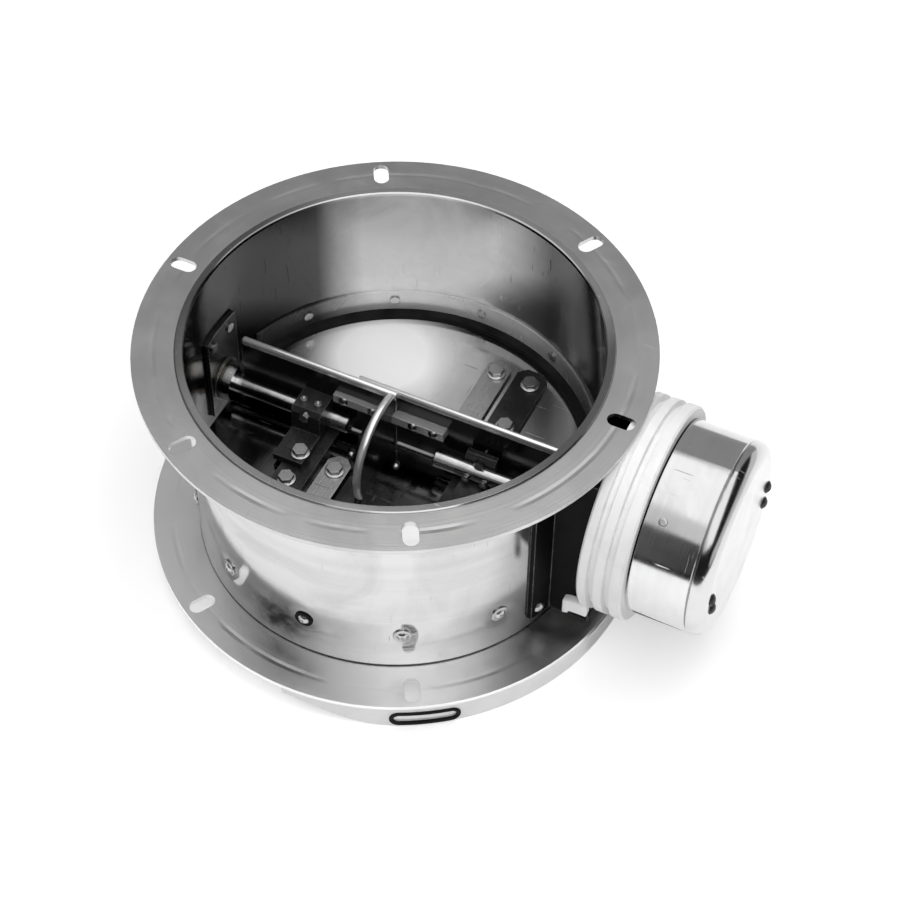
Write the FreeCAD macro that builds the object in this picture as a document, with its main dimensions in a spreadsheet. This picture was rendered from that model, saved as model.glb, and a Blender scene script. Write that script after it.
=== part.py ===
import FreeCAD, Part
import math
import os
import re
import Sketcher

# Motorized butterfly damper for a round duct, in millimetres.
# The origin is on the duct's axis, in the outer face of the bottom flange.
# +Z runs along the duct towards the top flange and +X along the shaft towards the actuator.
# The blade is shown closed: its far half (+Y) swings down and its near half (-Y) swings up.

SIZES = [
    # Duct tube and flanges
    ("duct_radius", 125.0),
    ("tube_wall", 1.5),
    ("body_height", 155.0),
    ("lip_reach", 4.0),
    ("lip_height", 1.2),
    ("flange_width", 29.5),
    ("flange_radius", "=duct_radius + tube_wall + flange_width"),
    ("lip_seat", 0.3),
    ("flange_thick", 3.0),
    ("slot_edge", 11.5),
    ("slot_circle", "=flange_radius - slot_edge"),
    ("slot_length", 17.0),
    ("slot_width", 9.5),
    ("slot_count", 6.0),
    ("seat_gap", 0.05),
    ("drill_back", 8.0),
    ("drill_length", 20.0),
    ("drill_through", 100.0),
    # Apron under the actuator side of the bottom flange, with its oval hole
    ("apron_depth", 16.5),
    ("apron_thick", 3.0),
    ("apron_corner", 16.0),
    ("oval_angle", 57.4),
    ("oval_length", 42.0),
    ("oval_height", 11.0),
    ("oval_drop", 9.0),
    # Half shafts, their bushes and brackets
    ("shaft_height", 62.0),
    ("shaft_radius", 6.0),
    ("shaft_play", 0.05),
    ("left_shaft_reach", 12.0),
    ("left_shaft_outer", "=duct_radius + left_shaft_reach"),
    ("left_shaft_inner", 32.0),
    ("right_shaft_inner", 27.0),
    ("bush_radius", 9.0),
    ("bush_flange_radius", 12.0),
    ("bush_flange", 2.0),
    ("bracket_thick", 2.5),
    ("bracket_boss", 1.5),
    ("bracket_boss_radius", 14.0),
    ("bracket_width", 34.0),
    ("bracket_below", 20.0),
    ("bracket_above", 46.0),
    ("housing_radius", 17.0),
    ("housing_depth", 11.5),
    ("saddle_thick", 2.5),
    ("saddle_half", 25.0),
    ("cap_thick", 4.0),
    ("collar_radius", 13.0),
    ("collar_length", 6.0),
    # Seats that the closed blade meets
    ("run_gap", 0.3),
    ("seat_end_angle", 17.0),
    ("band_thick", 1.5),
    ("band_height", 20.0),
    ("seal_reach", 7.5),
    ("seal_inner", "=duct_radius - seal_reach"),
    ("seal_height", 4.0),
    ("rivet_rise", 12.5),
    ("rivet_radius", 2.0),
    ("rivet_head", 4.0),
    ("rivet_head_height", 2.2),
    ("rivet_first_angle", 34.5),
    ("rivet_pitch_angle", 27.5),
    ("rivet_count", 5.0),
    # Blade with its straps, webs and brace
    ("blade_gap", 4.0),
    ("blade_radius", "=duct_radius - blade_gap"),
    ("blade_flat", "=duct_radius - 2 * blade_gap"),
    ("blade_thick", 2.0),
    ("blade_drop", 13.25),
    ("strap_place", 50.5),
    ("strap_width", 21.0),
    ("strap_thick", 3.0),
    ("strap_end_gap", 21.0),
    ("strap_long", "=blade_radius - strap_end_gap"),
    ("left_strap_back", 5.0),
    ("right_strap_front", 42.0),
    ("strap_corner", 5.0),
    ("stiffener_place", 28.0),
    ("stiffener_width", 16.0),
    ("stiffener_start", 18.0),
    ("stiffener_end_gap", 22.0),
    ("stiffener_end", "=blade_radius - stiffener_end_gap"),
    ("bolt_radius", 3.0),
    ("bolt_head", 5.0),
    ("bolt_head_height", 4.0),
    ("bolt_line", 52.0),
    ("bolt_inner", 49.0),
    ("bolt_end_gap", 12.0),
    ("bolt_outer", "=strap_long - bolt_end_gap"),
    ("clamp_bolt", 30.0),
    ("clamp_place", 57.0),
    ("clamp_width", 20.0),
    ("clamp_front", 13.0),
    ("clamp_rise", 13.0),
    ("clamp_foot", 38.0),
    ("clamp_foot_thick", 5.0),
    ("tie_rise", 9.4),
    ("tie_radius", 2.0),
    ("web_front", 6.3),
    ("web_thick", 2.5),
    ("web_rise", 34.5),
    ("web_end_gap", 13.0),
    ("web_half", "=duct_radius - web_end_gap"),
    ("web_break", 3.0),
    ("web_lap", 30.0),
    ("splice_left", 45.0),
    ("splice_right", 31.0),
    ("splice_low", 13.5),
    ("splice_height", 6.5),
    ("splice_thick", 4.0),
    ("splice_screw_radius", 2.0),
    ("brace_radius", 36.5),
    ("brace_shift", 6.0),
    ("brace_thick", 4.0),
    ("brace_place", 4.0),
    # Console between the tube and the actuator
    ("console_half", 40.0),
    ("console_low", 14.0),
    ("console_head", 15.0),
    ("console_high", "=body_height - console_head"),
    ("console_plate", 3.0),
    ("console_foot", 14.0),
    # Actuator base, cover and lid, all round the actuator's axis
    ("actuator_rise", 26.0),
    ("actuator_height", "=shaft_height + actuator_rise"),
    ("base_reach", 23.5),
    ("base_start", "=duct_radius + base_reach"),
    ("base_depth", 28.0),
    ("base_relief", 0.6),
    ("base_back", 4.0),
    ("base_wall", 5.0),
    ("ledge_wall", 2.5),
    ("rib_depth", 3.5),
    ("rib_first", 6.5),
    ("rib_groove", 3.5),
    ("rib_pitch", 10.0),
    ("base_round", 1.2),
    ("spigot_length", 5.0),
    ("spigot_wall", 2.5),
    ("cover_radius", 60.0),
    ("cover_wall", 1.2),
    ("cover_length", 36.5),
    ("lid_gap", 0.6),
    ("lid_plate", 4.6),
    ("lid_thick", 10.1),
    ("lid_round", 9.5),
    ("lid_screw_place", 46.0),
    ("lid_screw_radius", 2.0),
    ("lid_screw_head", 4.0),
    ("lid_screw_head_height", 2.4),
    ("lid_plug_place", 43.0),
    ("lid_plug_drop", 11.5),
    ("base_screw_place", 30.0),
    ("base_screw_rise", 26.0),
    ("base_screw_radius", 2.5),
    ("base_screw_head", 4.2),
    ("base_screw_head_height", 3.0),
    ("inlet_radius", 8.0),
    ("inlet_bore", 4.0),
    ("inlet_length", 12.0),
    ("inlet_flange", 11.0),
    ("inlet_flange_thick", 2.5),
    ("inlet_place", 16.0),
    # Gear train and switches inside the actuator
    ("gear_module", 1.0),
    ("pinion_teeth", 12.0),
    ("idler_teeth", 38.0),
    ("output_teeth", 56.0),
    ("pinion_addendum", 1.0),
    ("wheel_addendum", 0.75),
    ("tooth_root", 1.2),
    ("tooth_slack", 0.12),
    ("output_gear_width", 5.0),
    ("output_gear_start", 4.5),
    ("idler_width", 3.5),
    ("gear_step", 1.0),
    ("hub_radius", 9.0),
    ("hub_length", 3.0),
    ("pin_radius", 2.5),
    ("plate_thick", 2.0),
    ("plate_gap", 1.2),
    ("motor_radius", 17.0),
    ("motor_length", 34.0),
    ("motor_shaft", 2.5),
    ("motor_shaft_tail", 24.0),
    ("cam_radius", 8.0),
    ("cam_width", 3.5),
    ("cam_gap", 0.8),
    ("switch_width", 10.0),
    ("switch_height", 20.0),
    ("switch_depth", 6.0),
    ("block_width", 40.0),
    ("block_height", 14.0),
    ("block_depth", 13.0),
    ("block_rise", 25.0),
    ("block_screws", 5.0),
    ("capacitor_radius", 8.0),
    ("capacitor_length", 26.0),
    ("capacitor_place", 34.0),
    ("post_radius", 3.5),
    ("post_length", 14.0),
    # The base is wide enough for the gear on the shaft
    ("gear_room_gap", 3.75),
    ("base_radius", "=actuator_rise + output_teeth * gear_module / 2 + wheel_addendum + gear_room_gap + base_wall + rib_depth"),
]

doc = FreeCAD.newDocument("Damper")
sheet = doc.addObject("Spreadsheet::Sheet", "Sizes")
for row, (alias, value) in enumerate(SIZES, 1):
    sheet.set("A%d" % row, alias.replace("_", " "))
    sheet.set("B%d" % row, str(value))
    sheet.setAlias("B%d" % row, alias)
doc.recompute()
SIZE = {alias: float(sheet.get(alias)) for alias, value in SIZES}
WORD = re.compile(r"[a-z][a-z_]*")
FAR = 400.0
NODES = []


def bound(text):
    # The same expression with each size written as a cell of the sheet.
    return WORD.sub(lambda word: "Sizes." + word.group(0) if word.group(0) in SIZE else word.group(0), text)


def keep(thing, node):
    # Marks a finished sub-part and gives it the name of its file.
    thing.Label = node
    NODES.append(thing)
    return thing


# Primitives and booleans

def box(name, low, size):
    block = doc.addObject("Part::Box", name)
    for key, text in zip(("Length", "Width", "Height"), size):
        block.setExpression(key, bound(text))
    for key, text in zip("xyz", low):
        block.setExpression("Placement.Base." + key, bound(text))
    return block


def rod(name, start, length, radius, axis="X"):
    # A cylinder along X, Y or Z from its start point.
    turn = {"X": (FreeCAD.Vector(0, 1, 0), 90), "Y": (FreeCAD.Vector(1, 0, 0), -90), "Z": (FreeCAD.Vector(0, 0, 1), 0)}
    cylinder = doc.addObject("Part::Cylinder", name)
    cylinder.Placement = FreeCAD.Placement(FreeCAD.Vector(), FreeCAD.Rotation(*turn[axis]))
    cylinder.setExpression("Radius", bound(radius))
    cylinder.setExpression("Height", bound(length))
    for key, text in zip("xyz", start):
        cylinder.setExpression("Placement.Base." + key, bound(text))
    return cylinder


def join(name, *shapes):
    fused = doc.addObject("Part::MultiFuse", name)
    fused.Shapes = list(shapes)
    fused.Refine = True
    return fused


def meet(name, *shapes):
    shared = doc.addObject("Part::MultiCommon", name)
    shared.Shapes = list(shapes)
    return shared


def cut(name, base, *tools):
    tool = tools[0] if len(tools) == 1 else join(name + "_tools", *tools)
    rest = doc.addObject("Part::Cut", name)
    rest.Base = base
    rest.Tool = tool
    return rest


def shaped(name, shape):
    # A feature that holds a shape worked out from the sheet.
    feature = doc.addObject("Part::Feature", name)
    feature.Shape = shape
    return feature


# Sketches and features of a body

def origin_plane(body, role):
    return next(item for item in body.Origin.OriginFeatures if item.Role == role)


def sketch_on(body, name, role):
    sketch = body.newObject("Sketcher::SketchObject", name)
    sketch.AttachmentSupport = (origin_plane(body, role), [""])
    sketch.MapMode = "FlatFace"
    return sketch


def dimension(sketch, kind, geometry, point, text, start):
    place = (-1, 1, geometry, point) if kind in ("DistanceX", "DistanceY") else (geometry,)
    number = sketch.addConstraint(Sketcher.Constraint(kind, *place, start))
    sketch.setExpression("Constraints[%d]" % number, bound(text))


def outline(body, name, role, corners):
    # A closed outline of straight lines through corners given as expressions.
    sketch = sketch_on(body, name, role)
    count = len(corners)
    spread = [2 * math.pi * index / count for index in range(count)]
    start = [FreeCAD.Vector(50 + 10 * math.cos(angle), 50 + 10 * math.sin(angle), 0) for angle in spread]
    for index in range(count):
        sketch.addGeometry(Part.LineSegment(start[index], start[(index + 1) % count]), False)
    for index in range(count):
        sketch.addConstraint(Sketcher.Constraint("Coincident", index, 2, (index + 1) % count, 1))
    for index, (across, along) in enumerate(corners):
        dimension(sketch, "DistanceX", index, 1, across, start[index].x)
        dimension(sketch, "DistanceY", index, 1, along, start[index].y)
    return sketch


def rings(body, name, role, circles):
    # Circles given as centre across, centre along and radius.
    sketch = sketch_on(body, name, role)
    for index, (across, along, radius) in enumerate(circles):
        start = FreeCAD.Vector(10 * index + 5, 5, 0)
        number = sketch.addGeometry(Part.Circle(start, FreeCAD.Vector(0, 0, 1), 3), False)
        dimension(sketch, "DistanceX", number, 3, across, start.x)
        dimension(sketch, "DistanceY", number, 3, along, start.y)
        dimension(sketch, "Radius", number, 3, radius, 3)
    return sketch


def long_hole(body, name, role, middle, level, half, radius):
    # A slot along the sketch's first axis, with round ends.
    sketch = sketch_on(body, name, role)
    up = FreeCAD.Vector(0, 0, 1)
    near = FreeCAD.Vector(20, 5, 0)
    far = FreeCAD.Vector(40, 5, 0)
    rise = FreeCAD.Vector(0, 4, 0)
    quarter = math.pi / 2
    near_end = sketch.addGeometry(Part.ArcOfCircle(Part.Circle(near, up, 4), quarter, 3 * quarter), False)
    far_end = sketch.addGeometry(Part.ArcOfCircle(Part.Circle(far, up, 4), -quarter, quarter), False)
    top = sketch.addGeometry(Part.LineSegment(near + rise, far + rise), False)
    low = sketch.addGeometry(Part.LineSegment(near - rise, far - rise), False)
    sketch.addConstraint(Sketcher.Constraint("Tangent", near_end, 1, top, 1))
    sketch.addConstraint(Sketcher.Constraint("Tangent", near_end, 2, low, 1))
    sketch.addConstraint(Sketcher.Constraint("Tangent", far_end, 2, top, 2))
    sketch.addConstraint(Sketcher.Constraint("Tangent", far_end, 1, low, 2))
    sketch.addConstraint(Sketcher.Constraint("Horizontal", top))
    sketch.addConstraint(Sketcher.Constraint("Equal", near_end, far_end))
    dimension(sketch, "DistanceX", near_end, 3, "%s - (%s)" % (middle, half), near.x)
    dimension(sketch, "DistanceX", far_end, 3, "%s + %s" % (middle, half), far.x)
    dimension(sketch, "DistanceY", near_end, 3, level, near.y)
    dimension(sketch, "Radius", near_end, 3, radius, 4)
    return sketch


def pad(body, sketch, length, backwards=False, middle=False):
    feature = body.newObject("PartDesign::Pad", sketch.Name + "_pad")
    feature.Profile = sketch
    feature.setExpression("Length", bound(length))
    feature.Reversed = backwards
    feature.Midplane = middle
    return feature


def turned(body, sketch, axis="V_Axis", angle=None, backwards=False):
    feature = body.newObject("PartDesign::Revolution", sketch.Name + "_turn")
    feature.Profile = sketch
    feature.ReferenceAxis = (sketch, [axis])
    feature.Reversed = backwards
    feature.Angle = 360
    if angle:
        feature.setExpression("Angle", bound(angle))
    return feature


def less(body, sketch, length=None, backwards=False, middle=True):
    # A pocket, checked to take something away.
    doc.recompute()
    before = body.Shape.Volume
    feature = body.newObject("PartDesign::Pocket", sketch.Name + "_pocket")
    feature.Profile = sketch
    feature.Reversed = backwards
    feature.Midplane = middle
    if length:
        feature.setExpression("Length", bound(length))
    else:
        feature.Type = "ThroughAll"
    doc.recompute()
    if not body.Shape.Volume < before:
        raise ValueError(sketch.Name + " takes nothing away")
    return feature


def body_named(node, across="0", along="0", up="0", turn=None):
    body = doc.addObject("PartDesign::Body", node + "_body")
    if turn:
        body.Placement = FreeCAD.Placement(FreeCAD.Vector(), FreeCAD.Rotation(FreeCAD.Vector(0, 0, 1), 10))
        body.setExpression("Placement.Rotation.Angle", bound(turn))
    for key, text in zip("xyz", (across, along, up)):
        body.setExpression("Placement.Base." + key, bound(text))
    return body


# Places that several sub-parts share

TUBE_OUTER = "(duct_radius + tube_wall)"
BORE_RADIUS = "(bush_radius + seat_gap)"
BOSS_FACE = "(duct_radius - bracket_thick - bracket_boss)"
BLADE_TOP = "(shaft_height - blade_drop)"
STRAP_TOP = "(shaft_height - blade_drop + strap_thick)"
BASE_START = "base_start"
BASE_END = "(base_start + base_depth)"
COVER_END = "(base_start + base_depth + cover_length)"
LID_END = "(base_start + base_depth + cover_length + lid_gap + lid_thick)"
WEB_FOOT = STRAP_TOP
HOUSING_END = "(duct_radius + tube_wall + housing_depth)"


def reach(text):
    # The number that an expression of sizes comes to, by adding its signed words.
    total = 0.0
    for sign, word in re.findall(r"([+-]?)\s*([a-z][a-z_]*)", text):
        total += -SIZE[word] if sign == "-" else SIZE[word]
    return total


def vector(x, y, z):
    return FreeCAD.Vector(x, y, z)


def peg(x, y, z, radius, length, axis):
    return Part.makeCylinder(radius, length, vector(x, y, z), axis)


ALONG_X = vector(1, 0, 0)
ALONG_Y = vector(0, 1, 0)
ALONG_Z = vector(0, 0, 1)


def domed(place, axis, radius, height):
    # A low domed head, as a cap of a sphere on its own edge circle.
    ball = (radius * radius + height * height) / (2 * height)
    low = math.degrees(math.asin((ball - height) / ball))
    return Part.makeSphere(ball, place + axis * (height - ball), axis, low, 90, 360)


def hexagon(place, axis, radius, height):
    # A hexagon head or nut that stands on its place along the axis.
    side = axis.cross(ALONG_X if abs(axis.x) < 0.5 else ALONG_Z).normalize() * radius
    turn = FreeCAD.Rotation(axis, 60)
    corners = [place + side]
    for index in range(6):
        side = turn.multVec(side)
        corners.append(place + side)
    return Part.Face(Part.makePolygon(corners)).extrude(axis * height)


# Duct tube and flanges

def rivet_places(upper):
    # Direction and height of each seat rivet on one side of the shaft.
    level = SIZE["shaft_height"] - SIZE["blade_drop"]
    if upper:
        level += SIZE["run_gap"] + SIZE["rivet_rise"]
    else:
        level -= SIZE["blade_thick"] + SIZE["run_gap"] + SIZE["rivet_rise"]
    side = 1 if upper else -1
    for index in range(int(SIZE["rivet_count"])):
        angle = math.radians(side * (SIZE["rivet_first_angle"] + SIZE["rivet_pitch_angle"] * index))
        yield vector(math.cos(angle), math.sin(angle), 0), level


def rivet_holes(name):
    # Radial drills for the seat rivets, through the tube wall and the bands.
    drills = []
    for upper in (True, False):
        for way, level in rivet_places(upper):
            start = way * (SIZE["duct_radius"] - 8) + ALONG_Z * level
            drills.append(Part.makeCylinder(SIZE["rivet_radius"] + SIZE["seat_gap"], 16, start, way))
    return shaped(name, Part.makeCompound(drills))


def foot_rivet_places():
    # The console's rivets: two up each foot.
    middle = SIZE["console_half"] + SIZE["console_foot"] / 2
    radius = SIZE["duct_radius"] + SIZE["tube_wall"]
    turn = math.asin(middle / radius)
    span = SIZE["console_high"] - SIZE["console_low"]
    for side in (-1, 1):
        way = vector(math.cos(turn), side * math.sin(turn), 0)
        for share in (0.06, 0.9):
            yield way, SIZE["console_low"] + share * span


def bracket_rivet_places():
    # Two rivets at the top of each bearing bracket, on both ends of the shaft.
    turn = 0.3 * SIZE["bracket_width"] / SIZE["duct_radius"]
    level = SIZE["shaft_height"] + SIZE["bracket_above"] - 8
    for end in (-1, 1):
        for side in (-1, 1):
            yield vector(end * math.cos(turn), side * math.sin(turn), 0), level


def radial_drills(name, places, radius):
    drills = []
    for way, level in places:
        start = way * (SIZE["duct_radius"] - SIZE["drill_back"]) + ALONG_Z * level
        drills.append(Part.makeCylinder(radius + SIZE["seat_gap"], SIZE["drill_length"], start, way))
    return shaped(name, Part.makeCompound(drills))


def duct_tube():
    body = body_named("duct_tube")
    section = [
        ("duct_radius", "0"),
        (TUBE_OUTER, "0"),
        (TUBE_OUTER, "body_height - lip_seat"),
        (TUBE_OUTER + " + lip_reach", "body_height - lip_seat"),
        (TUBE_OUTER + " + lip_reach", "body_height + lip_height * 0.5"),
        (TUBE_OUTER + " + lip_reach - lip_height * 0.5", "body_height + lip_height"),
        ("duct_radius + tube_wall * 0.9", "body_height + lip_height"),
        ("duct_radius + tube_wall * 0.3", "body_height + lip_height * 0.6"),
        ("duct_radius", "body_height - lip_height * 0.5"),
    ]
    turned(body, outline(body, "tube_section", "XZ_Plane", section))
    bore = rod("tube_shaft_bore", ("-" + TUBE_OUTER + " - 5", "0", "shaft_height"), "2 * duct_radius + 20", BORE_RADIUS)
    seat_drills = rivet_holes("tube_seat_drills")
    foot_drills = radial_drills("tube_foot_drills", foot_rivet_places(), SIZE["rivet_radius"])
    bracket_drills = radial_drills("tube_bracket_drills", bracket_rivet_places(), SIZE["rivet_radius"])
    keep(cut("duct_tube_cut", body, bore, seat_drills, foot_drills, bracket_drills), "duct_tube")


def flange(node, level, seat=None):
    body = body_named(node, up=level)
    ring = rings(body, node + "_ring", "XY_Plane", [("0", "0", "flange_radius"), ("0", "0", TUBE_OUTER + " + seat_gap")])
    pad(body, ring, "flange_thick")
    half = "slot_length / 2 - slot_width / 2"
    slot = less(body, long_hole(body, node + "_slot", "XY_Plane", "slot_circle", "0", half, "slot_width / 2"))
    pattern = body.newObject("PartDesign::PolarPattern", node + "_slots")
    pattern.Originals = [slot]
    pattern.Axis = (slot.Profile[0], ["N_Axis"])
    pattern.Angle = 360
    pattern.setExpression("Occurrences", bound("slot_count"))
    body.Tip = pattern
    if seat is None:
        keep(body, node)
        return
    # A shallow rebate that the tube's lip lies in.
    rebate = rod(node + "_rebate", ("0", "0", "%s + flange_thick - %s" % (level, seat)), "2 * " + seat,
                 TUBE_OUTER + " + lip_reach + seat_gap", "Z")
    keep(cut(node + "_seated", body, rebate), node)


def support_apron():
    # A curved skirt under the flange's edge, with rounded lower corners and an oval hole.
    body = body_named("support_apron")
    ring = rings(body, "apron_ring", "XY_Plane", [("0", "0", "flange_radius"), ("0", "0", "flange_radius - apron_thick")])
    pad(body, ring, "apron_depth", backwards=True)
    hole = long_hole(body, "apron_oval", "YZ_Plane", "0", "-oval_drop", "oval_length / 2 - oval_height / 2", "oval_height / 2")
    hole.AttachmentOffset = FreeCAD.Placement(vector(0, 0, 0), FreeCAD.Rotation(vector(0, -1, 0), 10))
    hole.setExpression("AttachmentOffset.Rotation.Angle", bound("oval_angle"))
    less(body, hole, "flange_radius + 5", backwards=True, middle=False)
    face = box("apron_face", ("0", "-flange_radius - 1 + 1", "-apron_depth"), ("flange_radius + 5", "2 * flange_radius", "apron_depth"))
    doc.recompute()
    rounded = doc.addObject("Part::Fillet", "apron_face_round")
    rounded.Base = face
    lower = []
    for index, edge in enumerate(face.Shape.Edges, 1):
        along = abs(edge.tangentAt(edge.FirstParameter).x) > 0.9
        if along and edge.CenterOfMass.z < -SIZE["apron_depth"] / 2:
            lower.append((index, SIZE["apron_corner"], SIZE["apron_corner"]))
    rounded.Edges = lower
    keep(meet("support_apron_part", body, rounded), "support_apron")


# Bearings

def side(end, text):
    # An X place on the left (-1) or right (1) end of the shaft.
    return ("-" if end < 0 else "") + text


def bearing_bracket(node, end):
    # A curved plate on the inside of the wall, with a flat boss round the shaft.
    low = "0" if end > 0 else "-duct_radius"
    plate = box(node + "_plate", (low, "-bracket_width / 2", "shaft_height - bracket_below"),
                ("duct_radius", "bracket_width", "bracket_below + bracket_above"))
    shell = rod(node + "_shell", ("0", "0", "0"), "body_height", "duct_radius - seat_gap", "Z")
    hollow = rod(node + "_hollow", ("0", "0", "-1"), "body_height + 2", "duct_radius - bracket_thick", "Z")
    curved = cut(node + "_curved", meet(node + "_slab", plate, shell), hollow)
    start = BOSS_FACE if end > 0 else "-duct_radius"
    boss = rod(node + "_boss", (start, "0", "shaft_height"), "bracket_thick + bracket_boss", "bracket_boss_radius")
    wall = rod(node + "_wall", ("0", "0", "0"), "body_height", "duct_radius - seat_gap", "Z")
    whole = join(node + "_whole", curved, meet(node + "_seated", boss, wall))
    start = "duct_radius - 20" if end > 0 else "-duct_radius - 5"
    bore = rod(node + "_bore", (start, "0", "shaft_height"), "25", BORE_RADIUS)
    drills = radial_drills(node + "_drills", bracket_rivet_places(), SIZE["rivet_radius"])
    keep(cut(node + "_cut", whole, bore, drills), node)


def bush(node, end, length):
    # A flanged bush that the half shaft runs in, turned about X.
    body = body_named(node, up="shaft_height")
    inner = "(shaft_radius + shaft_play)"
    far = side(end, "(%s + %s)" % (BOSS_FACE, length))
    section = [
        (side(end, "(%s - bush_flange)" % BOSS_FACE), inner),
        (side(end, "(%s - bush_flange)" % BOSS_FACE), "bush_flange_radius"),
        (side(end, BOSS_FACE), "bush_flange_radius"),
        (side(end, BOSS_FACE), "bush_radius"),
        (far, "bush_radius"),
        (far, inner),
    ]
    turned(body, outline(body, node + "_section", "XZ_Plane", section), "H_Axis")
    keep(body, node)


def bearing_housing():
    # The outer bearing of the left half shaft, on a curved saddle.
    saddle = box("housing_saddle", ("-2 * duct_radius", "-saddle_half", "shaft_height - saddle_half"),
                 ("2 * duct_radius", "2 * saddle_half", "2 * saddle_half"))
    shell = rod("housing_shell", ("0", "0", "0"), "body_height", TUBE_OUTER + " + saddle_thick", "Z")
    barrel = rod("housing_barrel", ("-" + HOUSING_END, "0", "shaft_height"), "housing_depth + 10", "housing_radius")
    wall = rod("housing_wall", ("0", "0", "-1"), "body_height + 2", TUBE_OUTER + " + seat_gap", "Z")
    bore = rod("housing_bore", ("-2 * duct_radius", "0", "shaft_height"), "duct_radius + 40", BORE_RADIUS)
    whole = join("housing_whole", meet("housing_plate", saddle, shell), barrel)
    keep(cut("bearing_housing_cut", whole, wall, bore), "bearing_housing")


def bearing_cap():
    body = body_named("bearing_cap", up="shaft_height")
    start = "-(%s + seat_gap)" % HOUSING_END
    section = [
        (start, "0"),
        (start, "housing_radius"),
        (start + " - cap_thick * 0.5", "housing_radius"),
        (start + " - cap_thick", "housing_radius - cap_thick * 0.6"),
        (start + " - cap_thick", "0"),
    ]
    turned(body, outline(body, "cap_section", "XZ_Plane", section), "H_Axis")
    keep(body, "bearing_cap")


# Seats

def seat(node, inner, outer, low, high, upper):
    # Half a ring of a seat, between its radii and levels.
    body = body_named(node, turn="seat_end_angle" if upper else "seat_end_angle + 180")
    section = [(inner, low), (outer, low), (outer, high), (inner, high)]
    turned(body, outline(body, node + "_section", "XZ_Plane", section), "V_Axis", "180 - 2 * seat_end_angle")
    return body


def seats():
    above = BLADE_TOP + " + run_gap"
    below = BLADE_TOP + " - blade_thick - run_gap"
    band_inner = "duct_radius - seat_gap - band_thick"
    band_outer = "duct_radius - seat_gap"
    seal_outer = "duct_radius - 2 * seat_gap - band_thick"
    upper = seat("upper_seat_band", band_inner, band_outer, above, above + " + band_height", True)
    lower = seat("lower_seat_band", band_inner, band_outer, below + " - band_height", below, False)
    keep(cut("upper_band_cut", upper, rivet_holes("upper_band_drills")), "upper_seat_band")
    keep(cut("lower_band_cut", lower, rivet_holes("lower_band_drills")), "lower_seat_band")
    keep(seat("upper_seal", "seal_inner", seal_outer, above, above + " + seal_height", True), "upper_seat_seal")
    keep(seat("lower_seal", "seal_inner", seal_outer, below + " - seal_height", below, False), "lower_seat_seal")


def rivet(way, level, inner, outer, inner_head):
    # One rivet through the wall: a domed head outside and a flat one inside.
    middle = ALONG_Z * level
    shank = Part.makeCylinder(SIZE["rivet_radius"], outer - inner, way * inner + middle, way)
    head = domed(way * outer + middle, way, SIZE["rivet_head"], SIZE["rivet_head_height"])
    tail = Part.makeCylinder(SIZE["rivet_radius"] + 1.2, inner_head, way * (inner - inner_head) + middle, way)
    return shank.fuse([head, tail])


def rivet_groups():
    skin = SIZE["duct_radius"] + SIZE["tube_wall"]
    gap = 0.1
    inner = SIZE["duct_radius"] - SIZE["seat_gap"] - SIZE["band_thick"] - gap
    seat_rivets = [rivet(way, level, inner, skin + gap, 1.0) for upper in (True, False) for way, level in rivet_places(upper)]
    keep(shaped("seat_rivet_group", Part.makeCompound(seat_rivets)), "seat_rivets")
    inner = SIZE["duct_radius"] - SIZE["bracket_thick"] - gap
    bracket_rivets = [rivet(way, level, inner, skin + gap, 1.0) for way, level in bracket_rivet_places()]
    keep(shaped("bracket_rivet_group", Part.makeCompound(bracket_rivets)), "bracket_rivets")
    inner = SIZE["duct_radius"] - gap
    outer = skin + SIZE["console_plate"] + gap
    console_rivets = [rivet(way, level, inner, outer, 1.0) for way, level in foot_rivet_places()]
    keep(shaped("console_rivet_group", Part.makeCompound(console_rivets)), "console_rivets")


# Blade

def bolt_places():
    # Bolts that hold each strap on the blade, and the clamp's own bolt.
    for end in (-1, 1):
        for along in (SIZE["bolt_inner"], SIZE["bolt_outer"]):
            yield end * SIZE["bolt_line"], end * along, SIZE["strap_thick"]
        for along in (SIZE["clamp_bolt"], SIZE["bolt_outer"]):
            yield end * SIZE["stiffener_place"], end * along, SIZE["strap_thick"]
        yield end * SIZE["bolt_line"], -SIZE["clamp_bolt"], SIZE["strap_thick"] + SIZE["clamp_foot_thick"]


def bolt_drills(name):
    # Upright drills for those bolts, from below the blade to above the clamps' feet.
    low = SIZE["shaft_height"] - SIZE["blade_drop"] - SIZE["blade_thick"] - 2
    high = SIZE["shaft_height"] - SIZE["blade_drop"] + SIZE["strap_thick"] + SIZE["clamp_foot_thick"] + 2
    radius = SIZE["bolt_radius"] + SIZE["seat_gap"]
    return shaped(name, Part.makeCompound([peg(x, y, low, radius, high - low, ALONG_Z) for x, y, stack in bolt_places()]))


def blade_rivet_places():
    return (3.0, -7.0), (-26.0, -11.0)


def blade_disc():
    level = BLADE_TOP + " - blade_thick"
    disc = rod("blade_round", ("0", "0", level), "blade_thick", "blade_radius", "Z")
    bar = box("blade_flats", ("-blade_flat", "-blade_radius", level), ("2 * blade_flat", "2 * blade_radius", "blade_thick"))
    radius = SIZE["rivet_radius"] + SIZE["seat_gap"]
    low = SIZE["shaft_height"] - SIZE["blade_drop"] - SIZE["blade_thick"] - 1
    small = [peg(x, y, low, radius, SIZE["blade_thick"] + 2, ALONG_Z) for x, y in blade_rivet_places()]
    rivet_drills = shaped("blade_rivet_drills", Part.makeCompound(small))
    whole = meet("blade_plain", disc, bar)
    keep(cut("blade_disc_cut", whole, bolt_drills("blade_drills"), rivet_drills), "blade_disc")


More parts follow.
